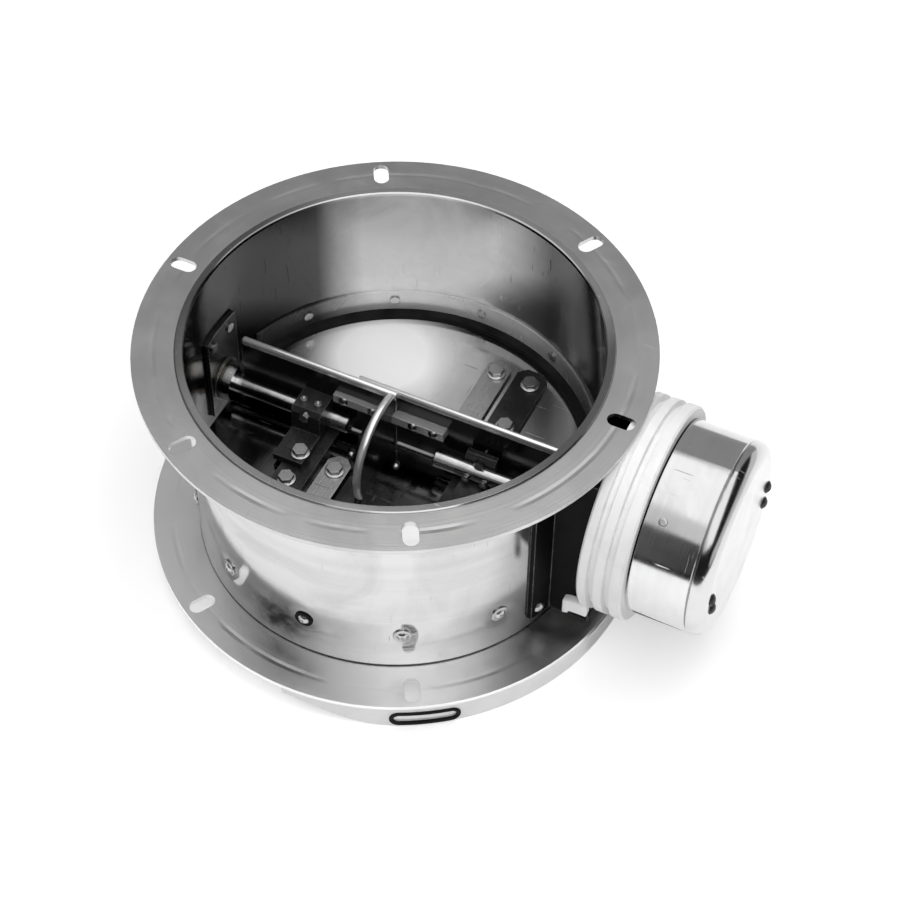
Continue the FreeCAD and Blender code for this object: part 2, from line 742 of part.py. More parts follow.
def strap(node, place, wide, near, far):
    # A flat bar on the blade along Y, with its corners cut off.
    body = body_named(node, across=place, up=BLADE_TOP)
    half = "(%s / 2)" % wide
    corners = [
        (half, near + " + strap_corner"),
        (half, far + " - strap_corner"),
        (half + " - strap_corner", far),
        ("-%s + strap_corner" % half, far),
        ("-" + half, far + " - strap_corner"),
        ("-" + half, near + " + strap_corner"),
        ("-%s + strap_corner" % half, near),
        (half + " - strap_corner", near),
    ]
    pad(body, outline(body, node + "_outline", "XY_Plane", corners), "strap_thick")
    keep(cut(node + "_cut", body, bolt_drills(node + "_drills")), node)


def strap_bolts():
    top = SIZE["shaft_height"] - SIZE["blade_drop"]
    low = top - SIZE["blade_thick"]
    bolts = []
    for x, y, stack in bolt_places():
        shank = peg(x, y, low, SIZE["bolt_radius"], stack + SIZE["blade_thick"], ALONG_Z)
        head = hexagon(vector(x, y, top + stack), ALONG_Z, SIZE["bolt_head"], SIZE["bolt_head_height"])
        nut = hexagon(vector(x, y, low), ALONG_Z * -1, SIZE["bolt_head"], SIZE["bolt_head_height"])
        bolts.append(shank.fuse([head, nut]))
    keep(shaped("strap_bolt_group", Part.makeCompound(bolts)), "strap_bolts")


def shaft_clamp(node, end):
    # A block behind the half shaft, with a foot bolted to the strap: the left one also closes over the shaft.
    body = body_named(node, across=side(end, "clamp_place"))
    front = "-clamp_front" if end < 0 else "-seat_gap"
    section = [
        ("web_front - 2 * seat_gap", STRAP_TOP),
        ("web_front - 2 * seat_gap", "shaft_height + clamp_rise"),
        (front + " + 3", "shaft_height + clamp_rise"),
        (front, "shaft_height + clamp_rise - 3"),
        (front, STRAP_TOP + " + clamp_foot_thick"),
        ("-clamp_foot", STRAP_TOP + " + clamp_foot_thick"),
        ("-clamp_foot", STRAP_TOP),
    ]
    pad(body, outline(body, node + "_section", "YZ_Plane", section), "clamp_width", middle=True)
    bore = rings(body, node + "_bore", "YZ_Plane", [("0", "shaft_height", "shaft_radius + seat_gap * 0.4")])
    less(body, bore)
    tie = rod(node + "_tie", (side(end, "clamp_place"), "-clamp_front - 5", "shaft_height + tie_rise"),
              "clamp_front + web_front + 10", "tie_radius + seat_gap", "Y")
    keep(cut(node + "_cut", body, tie, bolt_drills(node + "_drills")), node)


def tie_bolts():
    # A bolt along Y through each clamp and the web behind it.
    level = SIZE["shaft_height"] + SIZE["tie_rise"]
    bolts = []
    for end in (-1, 1):
        x = end * SIZE["clamp_place"]
        back = SIZE["web_front"] + SIZE["web_thick"] * (1 if end < 0 else 2)
        front = -SIZE["clamp_front"] if end < 0 else -SIZE["seat_gap"]
        shank = peg(x, front, level, SIZE["tie_radius"], back - front, ALONG_Y)
        head = hexagon(vector(x, front, level), ALONG_Y * -1, 3.6, 2.8)
        nut = hexagon(vector(x, back, level), ALONG_Y, 3.6, 3.2)
        bolts.append(shank.fuse([head, nut]))
    keep(shaped("tie_bolt_group", Part.makeCompound(bolts)), "clamp_tie_bolts")


def set_screws():
    # Socket screws on the left clamp's top, and against the front of the right half shaft.
    level = SIZE["shaft_height"] + SIZE["clamp_rise"]
    screws = []
    for step in (-1, 1):
        place = vector(-SIZE["clamp_place"] + step * 5, -SIZE["clamp_front"] * 0.35, level)
        plug = Part.makeCylinder(2.6, 2.6, place, ALONG_Z)
        socket = Part.makeCylinder(1.2, 3, place + ALONG_Z * 1.2, ALONG_Z)
        screws.append(plug.cut(socket))
        place = vector(SIZE["clamp_place"] + step * 6, -SIZE["shaft_radius"], SIZE["shaft_height"])
        plug = Part.makeCylinder(2.4, 2.4, place, ALONG_Y * -1)
        socket = Part.makeCylinder(1.1, 3, place - ALONG_Y * 1.2, ALONG_Y * -1)
        screws.append(plug.cut(socket))
    keep(shaped("set_screw_group", Part.makeCompound(screws)), "clamp_set_screws")


def blade_rivets():
    # Two rivets through the blade in front of the web.
    top = SIZE["shaft_height"] - SIZE["blade_drop"]
    low = top - SIZE["blade_thick"]
    rivets = []
    for x, y in blade_rivet_places():
        shank = peg(x, y, low, SIZE["rivet_radius"], SIZE["blade_thick"], ALONG_Z)
        head = domed(vector(x, y, top), ALONG_Z, SIZE["rivet_head"] * 0.8, SIZE["rivet_head_height"])
        tail = peg(x, y, low - 1, SIZE["rivet_head"] * 0.8, 1, ALONG_Z)
        rivets.append(shank.fuse([head, tail]))
    keep(shaped("blade_rivet_group", Part.makeCompound(rivets)), "blade_rivets")


def web_drills(name):
    # Drills along Y for the tie bolts and the splice screws.
    drills = []
    for x, z, radius in web_hole_places():
        drills.append(peg(x, 0, z, radius + SIZE["seat_gap"], 20, ALONG_Y))
    return shaped(name, Part.makeCompound(drills))


def splice_screw_places():
    level = SIZE["shaft_height"] + SIZE["splice_low"] + SIZE["splice_height"] / 2
    for x in (7 - SIZE["splice_left"], -18, 10, SIZE["splice_right"] - 7):
        yield x, level


def web_hole_places():
    for end in (-1, 1):
        yield end * SIZE["clamp_place"], SIZE["shaft_height"] + SIZE["tie_rise"], SIZE["tie_radius"]
    for x, level in splice_screw_places():
        yield x, level, SIZE["splice_screw_radius"]


def webs():
    height = "blade_drop - strap_thick + web_rise"
    left = box("web_left_plate", ("-web_half", "web_front", WEB_FOOT), ("web_half - web_break", "web_thick", height))
    keep(cut("web_left_cut", left, web_drills("web_left_drills")), "web_left")
    right = box("web_right_plate", ("-web_lap", "web_front + web_thick", WEB_FOOT), ("web_half + web_lap", "web_thick", height))
    keep(cut("web_right_cut", right, web_drills("web_right_drills")), "web_right")


def splice_bar():
    # A stepped bar in front of the webs' joint.
    body = body_named("splice_bar", up="shaft_height + splice_low")
    step = "-web_break + seat_gap"
    section = [
        ("-splice_left", "web_front - splice_thick"),
        ("splice_right", "web_front - splice_thick"),
        ("splice_right", "web_front + web_thick - seat_gap"),
        (step, "web_front + web_thick - seat_gap"),
        (step, "web_front - seat_gap"),
        ("-splice_left", "web_front - seat_gap"),
    ]
    pad(body, outline(body, "splice_outline", "XY_Plane", section), "splice_height")
    drills = []
    for x, level in splice_screw_places():
        drills.append(peg(x, -5, level, SIZE["splice_screw_radius"] + SIZE["seat_gap"], SIZE["drill_length"], ALONG_Y))
    keep(cut("splice_bar_cut", body, shaped("splice_drills", Part.makeCompound(drills))), "splice_bar")


def splice_screws():
    front = SIZE["web_front"] - SIZE["splice_thick"]
    screws = []
    for x, level in splice_screw_places():
        back = SIZE["web_front"] + SIZE["web_thick"] * (2 if x > -SIZE["web_lap"] else 1)
        shank = peg(x, front, level, SIZE["splice_screw_radius"], back - front, ALONG_Y)
        head = domed(vector(x, front, level), ALONG_Y * -1, 3.4, 1.8)
        nut = hexagon(vector(x, back, level), ALONG_Y, 3.6, 3.0)
        screws.append(shank.fuse([head, nut]))
    keep(shaped("splice_screw_group", Part.makeCompound(screws)), "splice_screws")


def brace_quadrant():
    # A plate across the shaft's line with a round edge, from the web's top down to the blade.
    body = body_named("brace_quadrant", across="-brace_place")
    sketch = sketch_on(body, "brace_outline", "YZ_Plane")
    foot = SIZE["shaft_height"] - SIZE["blade_drop"]
    centre = vector(-SIZE["brace_shift"], SIZE["shaft_height"], 0)
    radius = SIZE["brace_radius"]
    back = SIZE["web_front"] - SIZE["seat_gap"]
    rise = math.sqrt(radius ** 2 - (back - centre.x) ** 2)
    sweep = math.sqrt(radius ** 2 - (centre.y - foot) ** 2)
    high = vector(back, centre.y + rise, 0)
    low = vector(back, foot, 0)
    toe = vector(centre.x - sweep, foot, 0)
    start = math.atan2(high.y - centre.y, high.x - centre.x)
    finish = math.atan2(toe.y - centre.y, toe.x - centre.x) + 2 * math.pi
    arc = sketch.addGeometry(Part.ArcOfCircle(Part.Circle(centre, ALONG_Z, radius), start, finish), False)
    floor = sketch.addGeometry(Part.LineSegment(toe, low), False)
    rear = sketch.addGeometry(Part.LineSegment(low, high), False)
    sketch.addConstraint(Sketcher.Constraint("Coincident", arc, 2, floor, 1))
    sketch.addConstraint(Sketcher.Constraint("Coincident", floor, 2, rear, 1))
    sketch.addConstraint(Sketcher.Constraint("Coincident", rear, 2, arc, 1))
    sketch.addConstraint(Sketcher.Constraint("Horizontal", floor))
    sketch.addConstraint(Sketcher.Constraint("Vertical", rear))
    dimension(sketch, "DistanceX", arc, 3, "-brace_shift", centre.x)
    dimension(sketch, "DistanceY", arc, 3, "shaft_height", centre.y)
    dimension(sketch, "Radius", arc, 3, "brace_radius", radius)
    dimension(sketch, "DistanceX", rear, 1, "web_front - seat_gap", low.x)
    dimension(sketch, "DistanceY", rear, 1, BLADE_TOP, low.y)
    pad(body, sketch, "brace_thick", backwards=True)
    notch = box("brace_notch", ("-brace_place - brace_thick - 1", "web_front - splice_thick - seat_gap", "shaft_height + splice_low - seat_gap"),
                ("brace_thick + 2", "splice_thick + 1", "splice_height + 2 * seat_gap"))
    keep(cut("brace_cut", body, notch), "brace_quadrant")


def half_shaft(node, start, length):
    body = body_named(node, across=start, up="shaft_height")
    section = [
        ("0", "0"),
        ("0", "shaft_radius - 1"),
        ("1", "shaft_radius"),
        (length + " - 1", "shaft_radius"),
        (length, "shaft_radius - 1"),
        (length, "0"),
    ]
    turned(body, outline(body, node + "_section", "XZ_Plane", section), "H_Axis")
    keep(body, node)


def shaft_collar(node, end):
    # A set collar that keeps the shaft from sliding, next to the bush's flange.
    length = "collar_length"
    start = side(end, "(%s - bush_flange - run_gap%s)" % (BOSS_FACE, " - collar_length" if end > 0 else ""))
    ring = rod(node + "_ring", (start, "0", "shaft_height"), length, "collar_radius")
    bore = rod(node + "_bore", (start + " - 1", "0", "shaft_height"), length + " + 2", "shaft_radius + seat_gap * 0.4")
    keep(cut(node + "_cut", ring, bore), node)


# Console and actuator housing

def actuator_console():
    # A folded bracket: two cheeks and a front plate, with feet that follow the tube.
    depth = BASE_START + " - duct_radius * 0.5"
    height = "console_high - console_low"
    outer = box("console_outer", ("duct_radius * 0.5", "-console_half", "console_low"), (depth, "2 * console_half", height))
    inner = box("console_inner", ("0", "-console_half + console_plate", "console_low - 1"),
                (BASE_START + " - console_plate", "2 * console_half - 2 * console_plate", height + " + 2"))
    channel = cut("console_channel", outer, inner)
    wide = box("console_wide", ("0", "-console_half - console_foot", "console_low"), ("2 * duct_radius", "2 * console_half + 2 * console_foot", height))
    skin = rod("console_skin", ("0", "0", "0"), "body_height", TUBE_OUTER + " + console_plate", "Z")
    gap = box("console_open", ("0", "-console_half + console_plate", "console_low - 1"),
              ("2 * duct_radius", "2 * console_half - 2 * console_plate", height + " + 2"))
    feet = cut("console_feet", meet("console_wrap", wide, skin), gap)
    wall = rod("console_wall", ("0", "0", "-1"), "body_height + 2", TUBE_OUTER + " + seat_gap", "Z")
    hole = rod("console_hole", ("duct_radius", "0", "shaft_height"), "80", "bush_flange_radius")
    drills = radial_drills("console_drills", foot_rivet_places(), SIZE["rivet_radius"])
    screws = base_screw_drills("console_screw_drills")
    whole = join("console_whole", channel, feet)
    keep(cut("console_cut", whole, wall, hole, drills, screws), "actuator_console")


def base_screw_places():
    for across in (-1, 1):
        for up in (-1, 1):
            yield across * SIZE["base_screw_place"], SIZE["actuator_height"] + up * SIZE["base_screw_rise"]


def base_screw_drills(name):
    start = SIZE["base_start"] - SIZE["console_plate"] - 5
    radius = SIZE["base_screw_radius"] + SIZE["seat_gap"]
    return shaped(name, Part.makeCompound([peg(start, y, z, radius, 15, ALONG_X) for y, z in base_screw_places()]))


def base_screws():
    # Hexagon screws from inside the console into the base's back.
    face = SIZE["base_start"] - SIZE["console_plate"]
    screws = []
    for y, z in base_screw_places():
        shank = peg(face, y, z, SIZE["base_screw_radius"], SIZE["console_plate"] + SIZE["base_back"] - 0.2, ALONG_X)
        head = hexagon(vector(face, y, z), ALONG_X * -1, SIZE["base_screw_head"], SIZE["base_screw_head_height"])
        screws.append(shank.fuse(head))
    keep(shaped("base_screw_group", Part.makeCompound(screws)), "base_screws")


def gearbox_base():
    # A ribbed round casting: closed at the back, open to the cover, with a spigot.
    body = body_named("gearbox_base", across=BASE_START + " + seat_gap", up="actuator_height")
    cavity = "base_radius - rib_depth - base_wall"
    ledge = cavity + " - ledge_wall"
    depth = "%.6f" % (plate_place() - SIZE["base_start"] - 2 * SIZE["seat_gap"])
    spigot = "cover_radius - cover_wall - seat_gap"
    section = [
        ("0", "0"),
        ("0", "base_radius - base_round"),
        ("base_round", "base_radius"),
        ("base_depth - base_round - seat_gap", "base_radius"),
        ("base_depth - seat_gap", "base_radius - base_round"),
        ("base_depth - seat_gap", spigot),
        ("base_depth + spigot_length", spigot),
        ("base_depth + spigot_length", cavity),
        (depth, cavity),
        (depth, ledge),
        ("base_back", ledge),
        ("base_back", "0"),
    ]
    turned(body, outline(body, "base_section", "XZ_Plane", section), "H_Axis")
    doc.recompute()
    before = body.Shape.Volume
    groove_section = [
        ("rib_first", "base_radius - rib_depth"),
        ("rib_first + rib_groove", "base_radius - rib_depth"),
        ("rib_first + rib_groove + 0.6", "base_radius + 1"),
        ("rib_first - 0.6", "base_radius + 1"),
    ]
    profile = outline(body, "rib_groove_section", "XZ_Plane", groove_section)
    groove = body.newObject("PartDesign::Groove", "rib_groove_cut")
    groove.Profile = profile
    groove.ReferenceAxis = (profile, ["H_Axis"])
    groove.Angle = 360
    doc.recompute()
    if not body.Shape.Volume < before:
        raise ValueError("the rib groove takes nothing away")
    pattern = body.newObject("PartDesign::LinearPattern", "rib_grooves")
    pattern.Originals = [groove]
    pattern.Direction = (profile, ["H_Axis"])
    pattern.setExpression("Length", bound("rib_pitch"))
    pattern.Occurrences = 2
    body.Tip = pattern
    bore = rod("base_bore", (BASE_START + " - 5", "0", "shaft_height"), "base_back + 10", BORE_RADIUS)
    pin = rod("base_pin_bore", (BASE_START + " + base_back - 2.5", "0", "0"), "6", "pin_radius + seat_gap")
    doc.recompute()
    place_at_idler(pin)
    drills = base_screw_drills("base_drills")
    relief = rod("base_relief", ("0", "0", "body_height - flange_thick - base_relief"), "2 * body_height", "flange_radius + base_relief", "Z")
    inlet = rod("base_inlet", (BASE_START + " + inlet_place", "0", "actuator_height - base_radius - 5"), "base_radius * 0.5", "inlet_bore + 1.5", "Z")
    keep(cut("gearbox_base_cut", body, bore, pin, drills, inlet, relief), "gearbox_base")


def idler_centre():
    # Where the idler meshes with both the motor pinion and the output gear.
    module = SIZE["gear_module"]
    to_motor = module * (SIZE["pinion_teeth"] + SIZE["idler_teeth"]) / 2
    to_output = module * (SIZE["pinion_teeth"] + SIZE["output_teeth"]) / 2
    rise = SIZE["actuator_height"] - SIZE["shaft_height"]
    up = (to_output ** 2 - to_motor ** 2 + rise ** 2) / (2 * rise)
    across = math.sqrt(to_output ** 2 - up ** 2)
    return across, SIZE["shaft_height"] + up


def place_at_idler(thing):
    across, up = idler_centre()
    thing.Placement = FreeCAD.Placement(vector(thing.Placement.Base.x, across, up), thing.Placement.Rotation)
    thing.setExpression("Placement.Base.y", str(round(across, 9)))
    thing.setExpression("Placement.Base.z", str(round(up, 9)))


def base_bush():
    # A plain bush in the base's back wall.
    body = body_named("base_bush", across=BASE_START, up="shaft_height")
    inner = "(shaft_radius + shaft_play)"
    section = [
        ("2 * seat_gap", inner),
        ("2 * seat_gap", "bush_radius"),
        ("base_back", "bush_radius"),
        ("base_back", inner),
    ]
    turned(body, outline(body, "base_bush_section", "XZ_Plane", section), "H_Axis")
    keep(body, "base_bush")


def motor_cover():
    # A thin drawn sleeve over the base's spigot.
    body = body_named("motor_cover", across=BASE_END + " + seat_gap", up="actuator_height")
    section = [
        ("0", "cover_radius - cover_wall"),
        ("0", "cover_radius"),
        ("cover_length - 1", "cover_radius"),
        ("cover_length", "cover_radius - 1"),
        ("cover_length", "cover_radius - cover_wall - 1.5"),
        ("cover_length - cover_wall", "cover_radius - cover_wall - 1.5"),
        ("cover_length - cover_wall", "cover_radius - cover_wall"),
    ]
    turned(body, outline(body, "cover_section", "XZ_Plane", section), "H_Axis")
    keep(body, "motor_cover")


def end_lid():
    # The round end of the actuator, with a well rounded edge and a spigot into the cover.
    body = body_named("end_lid", across=COVER_END + " + lid_gap", up="actuator_height")
    section = [
        ("-4", "cover_radius - cover_wall - 6"),
        ("-4", "cover_radius - cover_wall - 2"),
        ("0", "cover_radius - cover_wall - 2"),
        ("0", "cover_radius"),
        ("lid_thick", "cover_radius"),
        ("lid_thick", "0"),
        ("lid_thick - lid_plate", "0"),
        ("lid_thick - lid_plate", "cover_radius - cover_wall - 6"),
    ]
    turned(body, outline(body, "lid_section", "XZ_Plane", section), "H_Axis")
    doc.recompute()
    rounded = doc.addObject("Part::Fillet", "end_lid_round")
    rounded.Base = body
    rim = []
    for index, edge in enumerate(body.Shape.Edges, 1):
        middle = edge.BoundBox.Center
        if edge.Closed and abs(middle.x - reach(LID_END)) < 0.001 and abs(edge.BoundBox.ZLength / 2 - SIZE["cover_radius"]) < 0.001:
            rim.append((index, SIZE["lid_round"], SIZE["lid_round"]))
    rounded.Edges = rim
    keep(cut("end_lid_cut", rounded, lid_screw_drills("lid_drills")), "end_lid")


def lid_screw_drills(name):
    radius = SIZE["lid_screw_radius"] + SIZE["seat_gap"]
    start = SIZE["flange_radius"]
    height = SIZE["actuator_height"]
    holes = []
    for way in (-1, 1):
        holes.append(peg(start, way * SIZE["lid_screw_place"], height, radius, SIZE["drill_through"], ALONG_X))
        holes.append(peg(start, way * SIZE["lid_plug_place"], height - SIZE["lid_plug_drop"], radius, SIZE["drill_through"], ALONG_X))
    return shaped(name, Part.makeCompound(holes))


def lid_screws():
    # Long screws through the lid into posts on the gear plate.
    end = reach(LID_END)
    tip = plate_place() + SIZE["plate_thick"] + 6
    screws = []
    for way in (-1, 1):
        y = way * SIZE["lid_screw_place"]
        z = SIZE["actuator_height"]
        shank = peg(tip, y, z, SIZE["lid_screw_radius"], end - tip, ALONG_X)
        head = domed(vector(end, y, z), ALONG_X, SIZE["lid_screw_head"], SIZE["lid_screw_head_height"])
        slot = Part.makeBox(2, 2 * SIZE["lid_screw_head"], 1.1, vector(end + 1.2, y - SIZE["lid_screw_head"], z - 0.55))
        screws.append(shank.fuse(head).cut(slot))
    keep(shaped("lid_screw_group", Part.makeCompound(screws)), "lid_screws")
    plugs = []
    for way in (-1, 1):
        place = vector(end, way * SIZE["lid_plug_place"], SIZE["actuator_height"] - SIZE["lid_plug_drop"])
        stem = Part.makeCylinder(SIZE["lid_screw_radius"], SIZE["lid_plate"] - 0.2, place - ALONG_X * (SIZE["lid_plate"] - 0.2), ALONG_X)
        plugs.append(stem.fuse(domed(place, ALONG_X, SIZE["lid_screw_head"], SIZE["lid_screw_head_height"])))
    keep(shaped("lid_plug_group", Part.makeCompound(plugs)), "lid_plugs")


def cable_inlet():
    # The bushing that a cable would enter by, under the base.
    x = SIZE["base_start"] + SIZE["inlet_place"]
    top = SIZE["actuator_height"] - SIZE["base_radius"] + SIZE["rib_depth"]
    neck = peg(x, 0, top - SIZE["inlet_length"], SIZE["inlet_radius"], SIZE["inlet_length"] - 3.6, ALONG_Z)
    ring = hexagon(vector(x, 0, top - SIZE["inlet_length"] + 2), ALONG_Z, SIZE["inlet_flange"] * 0.9, SIZE["inlet_flange_thick"])
    stem = peg(x, 0, top - 5, SIZE["inlet_bore"] + 1.45, 8, ALONG_Z)
    bore = peg(x, 0, top - 30, SIZE["inlet_bore"], 60, ALONG_Z)
    keep(shaped("cable_inlet_part", neck.fuse([ring, stem]).cut(bore)), "cable_inlet")


# Gear train

def tooth_points(teeth, addendum, dedendum, phase, centre):
    # A gear's outline: involute flanks, with slack taken off each one.
    module = SIZE["gear_module"]
    pitch = module * teeth / 2
    pressure = math.radians(20)
    base = pitch * math.cos(pressure)
    root = pitch - module * dedendum
    tip = pitch + module * addendum
    half = math.pi / (2 * teeth) - SIZE["tooth_slack"] / (2 * pitch)
    roll = math.tan(pressure) - pressure
    flank = []
    for radius in (max(root + 0.15, base), pitch, tip):
        turn = math.sqrt(max((radius / base) ** 2 - 1, 0))
        flank.append((radius, half + roll - (turn - math.atan(turn))))
    flank.insert(0, (root, flank[0][1]))
    points = []
    for tooth in range(int(teeth)):
        middle = phase + 2 * math.pi * tooth / teeth
        for radius, offset in flank:
            points.append((radius, middle - offset))
        for radius, offset in reversed(flank):
            points.append((radius, middle + offset))
    return [(centre[0] + radius * math.cos(angle), centre[1] + radius * math.sin(angle)) for radius, angle in points]


def gear(teeth, addendum, dedendum, phase, centre, start, width, bore):
    corners = [vector(start, y, z) for y, z in tooth_points(teeth, addendum, dedendum, phase, centre)]
    wire = Part.makePolygon(corners + corners[:1])
    blank = Part.Face(wire).extrude(ALONG_X * width)
    if not bore:
        return blank
    return blank.cut(peg(start - 1, centre[0], centre[1], bore, width + 2, ALONG_X))


def plate_place():
    # The near face of the gear plate, worked out from the gears in front of it.
    start = SIZE["base_start"] + SIZE["base_back"] + SIZE["output_gear_start"]
    return start + SIZE["output_gear_width"] + SIZE["gear_step"] + SIZE["idler_width"] + SIZE["plate_gap"]


def gear_train():
    start = SIZE["base_start"] + SIZE["base_back"] + SIZE["output_gear_start"]
    second = start + SIZE["output_gear_width"] + SIZE["gear_step"]
    output = (0.0, SIZE["shaft_height"])
    motor = (0.0, SIZE["actuator_height"])
    idler = idler_centre()
    to_idler = math.atan2(idler[1] - output[1], idler[0] - output[0])
    to_motor = math.atan2(motor[1] - idler[1], motor[0] - idler[0])
    small = SIZE["pinion_teeth"]
    wheel = SIZE["wheel_addendum"]
    pinion = SIZE["pinion_addendum"]
    root = SIZE["tooth_root"]
    seat_radius = SIZE["shaft_radius"] + SIZE["seat_gap"] * 0.4
    blank = gear(SIZE["output_teeth"], wheel, root, to_idler, output, start, SIZE["output_gear_width"], 0)
    hub = peg(start - SIZE["hub_length"], output[0], output[1], SIZE["hub_radius"], SIZE["hub_length"] + 1, ALONG_X)
    windows = []
    for index in range(5):
        angle = 2 * math.pi * index / 5
        y = output[0] + 18 * math.cos(angle)
        z = output[1] + 18 * math.sin(angle)
        windows.append(peg(start - 1, y, z, 5, SIZE["output_gear_width"] + 2, ALONG_X))
    bore = peg(start - 10, output[0], output[1], seat_radius, 30, ALONG_X)
    keep(shaped("output_gear_part", blank.fuse(hub).cut(windows + [bore])), "output_gear")
    free = SIZE["pin_radius"] + SIZE["shaft_play"]
    lower = gear(small, pinion, 1.0, to_idler + math.pi + math.pi / small, idler, start - 0.5, SIZE["output_gear_width"] + SIZE["gear_step"] + 0.5, 0)
    upper = gear(SIZE["idler_teeth"], wheel, root, to_motor, idler, second, SIZE["idler_width"], 0)
    bore = peg(start - 5, idler[0], idler[1], free, 30, ALONG_X)
    keep(shaped("idler_gear_part", lower.fuse(upper).cut(bore)), "idler_gear")
    drive = gear(small, pinion, 1.0, to_motor + math.pi + math.pi / small, motor, second - 0.4, SIZE["idler_width"] + 0.8, 0)
    tail = plate_place() + SIZE["plate_thick"] + SIZE["motor_shaft_tail"]
    spindle = peg(second - 1, motor[0], motor[1], SIZE["motor_shaft"], tail - second + 1, ALONG_X)
    keep(shaped("motor_pinion_part", drive.fuse(spindle)), "motor_pinion")
    back = SIZE["base_start"] + SIZE["base_back"] - 2.4
    pin = peg(back, idler[0], idler[1], SIZE["pin_radius"], plate_place() + SIZE["plate_thick"] - back, ALONG_X)
    keep(shaped("idler_pin_part", pin), "idler_pin")


def gear_plate():
    # The plate that closes the gear room and carries the motor, with two posts for the lid's screws.
    near = plate_place()
    radius = SIZE["base_radius"] - SIZE["rib_depth"] - SIZE["base_wall"] - 0.2
    height = SIZE["actuator_height"]
    disc = peg(near, 0, height, radius, SIZE["plate_thick"], ALONG_X)
    posts = [peg(near + SIZE["plate_thick"], way * SIZE["lid_screw_place"], height, SIZE["post_radius"], SIZE["post_length"], ALONG_X) for way in (-1, 1)]
    across, up = idler_centre()
    holes = [
        peg(near - 1, 0, SIZE["shaft_height"], SIZE["shaft_radius"] + SIZE["shaft_play"], SIZE["drill_length"] / 2, ALONG_X),
        peg(near - 1, across, up, SIZE["pin_radius"] + 0.02, SIZE["drill_length"] / 2, ALONG_X),
        peg(near - 1, 0, height, SIZE["motor_shaft"] + 0.5, SIZE["drill_length"] / 2, ALONG_X),
    ]
    for way in (-1, 1):
        hole = peg(near + SIZE["plate_thick"] + 5, way * SIZE["lid_screw_place"], height, SIZE["lid_screw_radius"] + 0.02, SIZE["drill_length"], ALONG_X)
        holes.append(hole)
    keep(shaped("gear_plate_part", disc.fuse(posts).cut(holes)), "gear_plate")


def motor_body():
    near = plate_place() + SIZE["plate_thick"] + SIZE["seat_gap"]
    height = SIZE["actuator_height"]
    can = peg(near, 0, height, SIZE["motor_radius"], SIZE["motor_length"], ALONG_X)
    boss = peg(near + SIZE["motor_length"], 0, height, SIZE["motor_radius"] * 0.4, 2, ALONG_X)
    bore = peg(near - 1, 0, height, SIZE["motor_shaft"] + SIZE["shaft_play"], SIZE["motor_length"] - 1, ALONG_X)
    keep(shaped("motor_body_part", can.fuse(boss).cut(bore)), "motor_body")


def limit_parts():
    # Two cams on the shaft's end and the switches beside them.
    near = plate_place() + SIZE["plate_thick"] + 1
    seat_radius = SIZE["shaft_radius"] + SIZE["seat_gap"] * 0.4
    cams = []
    for index in range(2):
        start = near + index * (SIZE["cam_width"] + SIZE["cam_gap"])
        disc = peg(start, 0, SIZE["shaft_height"], SIZE["cam_radius"], SIZE["cam_width"], ALONG_X)
        low = SIZE["shaft_height"] - 2 * SIZE["cam_radius"]
        flat = Part.makeBox(SIZE["cam_width"], 4 * SIZE["cam_radius"], SIZE["cam_radius"] + 1.2,
                            vector(start, -2 * SIZE["cam_radius"], low))
        bore = peg(start - 1, 0, SIZE["shaft_height"], seat_radius, SIZE["cam_width"] + 2, ALONG_X)
        cams.append(disc.cut([flat, bore]))
    keep(shaped("limit_cam_group", Part.makeCompound(cams)), "limit_cams")
    switches = []
    for way in (-1, 1):
        inner = SIZE["cam_radius"] + SIZE["cam_gap"]
        low = inner if way > 0 else -inner - SIZE["switch_width"]
        case = Part.makeBox(SIZE["switch_depth"], SIZE["switch_width"], SIZE["switch_height"],
                            vector(plate_place() + SIZE["plate_thick"] + SIZE["seat_gap"], low, SIZE["shaft_height"] - 16))
        switches.append(case)
    keep(shaped("limit_switch_group", Part.makeCompound(switches)), "limit_switches")
    return near


def wiring_parts():
    near = plate_place() + SIZE["plate_thick"] + SIZE["seat_gap"]
    low = SIZE["actuator_height"] + SIZE["block_rise"]
    wide = SIZE["block_width"]
    block = Part.makeBox(SIZE["block_depth"], wide, SIZE["block_height"], vector(near, -wide / 2, low))
    step = Part.makeBox(SIZE["block_depth"] / 2, wide + 2, SIZE["block_height"] / 2,
                        vector(near + SIZE["block_depth"] / 2, -wide / 2 - 1, low + SIZE["block_height"] / 2))
    count = int(SIZE["block_screws"])
    wells = []
    screws = []
    for index in range(count):
        y = wide * ((index + 0.5) / count - 0.5)
        z = low + SIZE["block_height"] / 4
        wells.append(peg(near + SIZE["block_depth"] - 5, y, z, 2.2, 6, ALONG_X))
        screws.append(peg(near + SIZE["block_depth"] - 5, y, z, 2.0, 3, ALONG_X))
    keep(shaped("terminal_block_part", block.cut([step] + wells)), "terminal_block")
    keep(shaped("terminal_screw_group", Part.makeCompound(screws)), "terminal_screws")
    y = -SIZE["capacitor_place"]
    z = SIZE["actuator_height"] + 8
    keep(shaped("capacitor_part", peg(near, y, z, SIZE["capacitor_radius"], SIZE["capacitor_length"], ALONG_X)), "motor_capacitor")


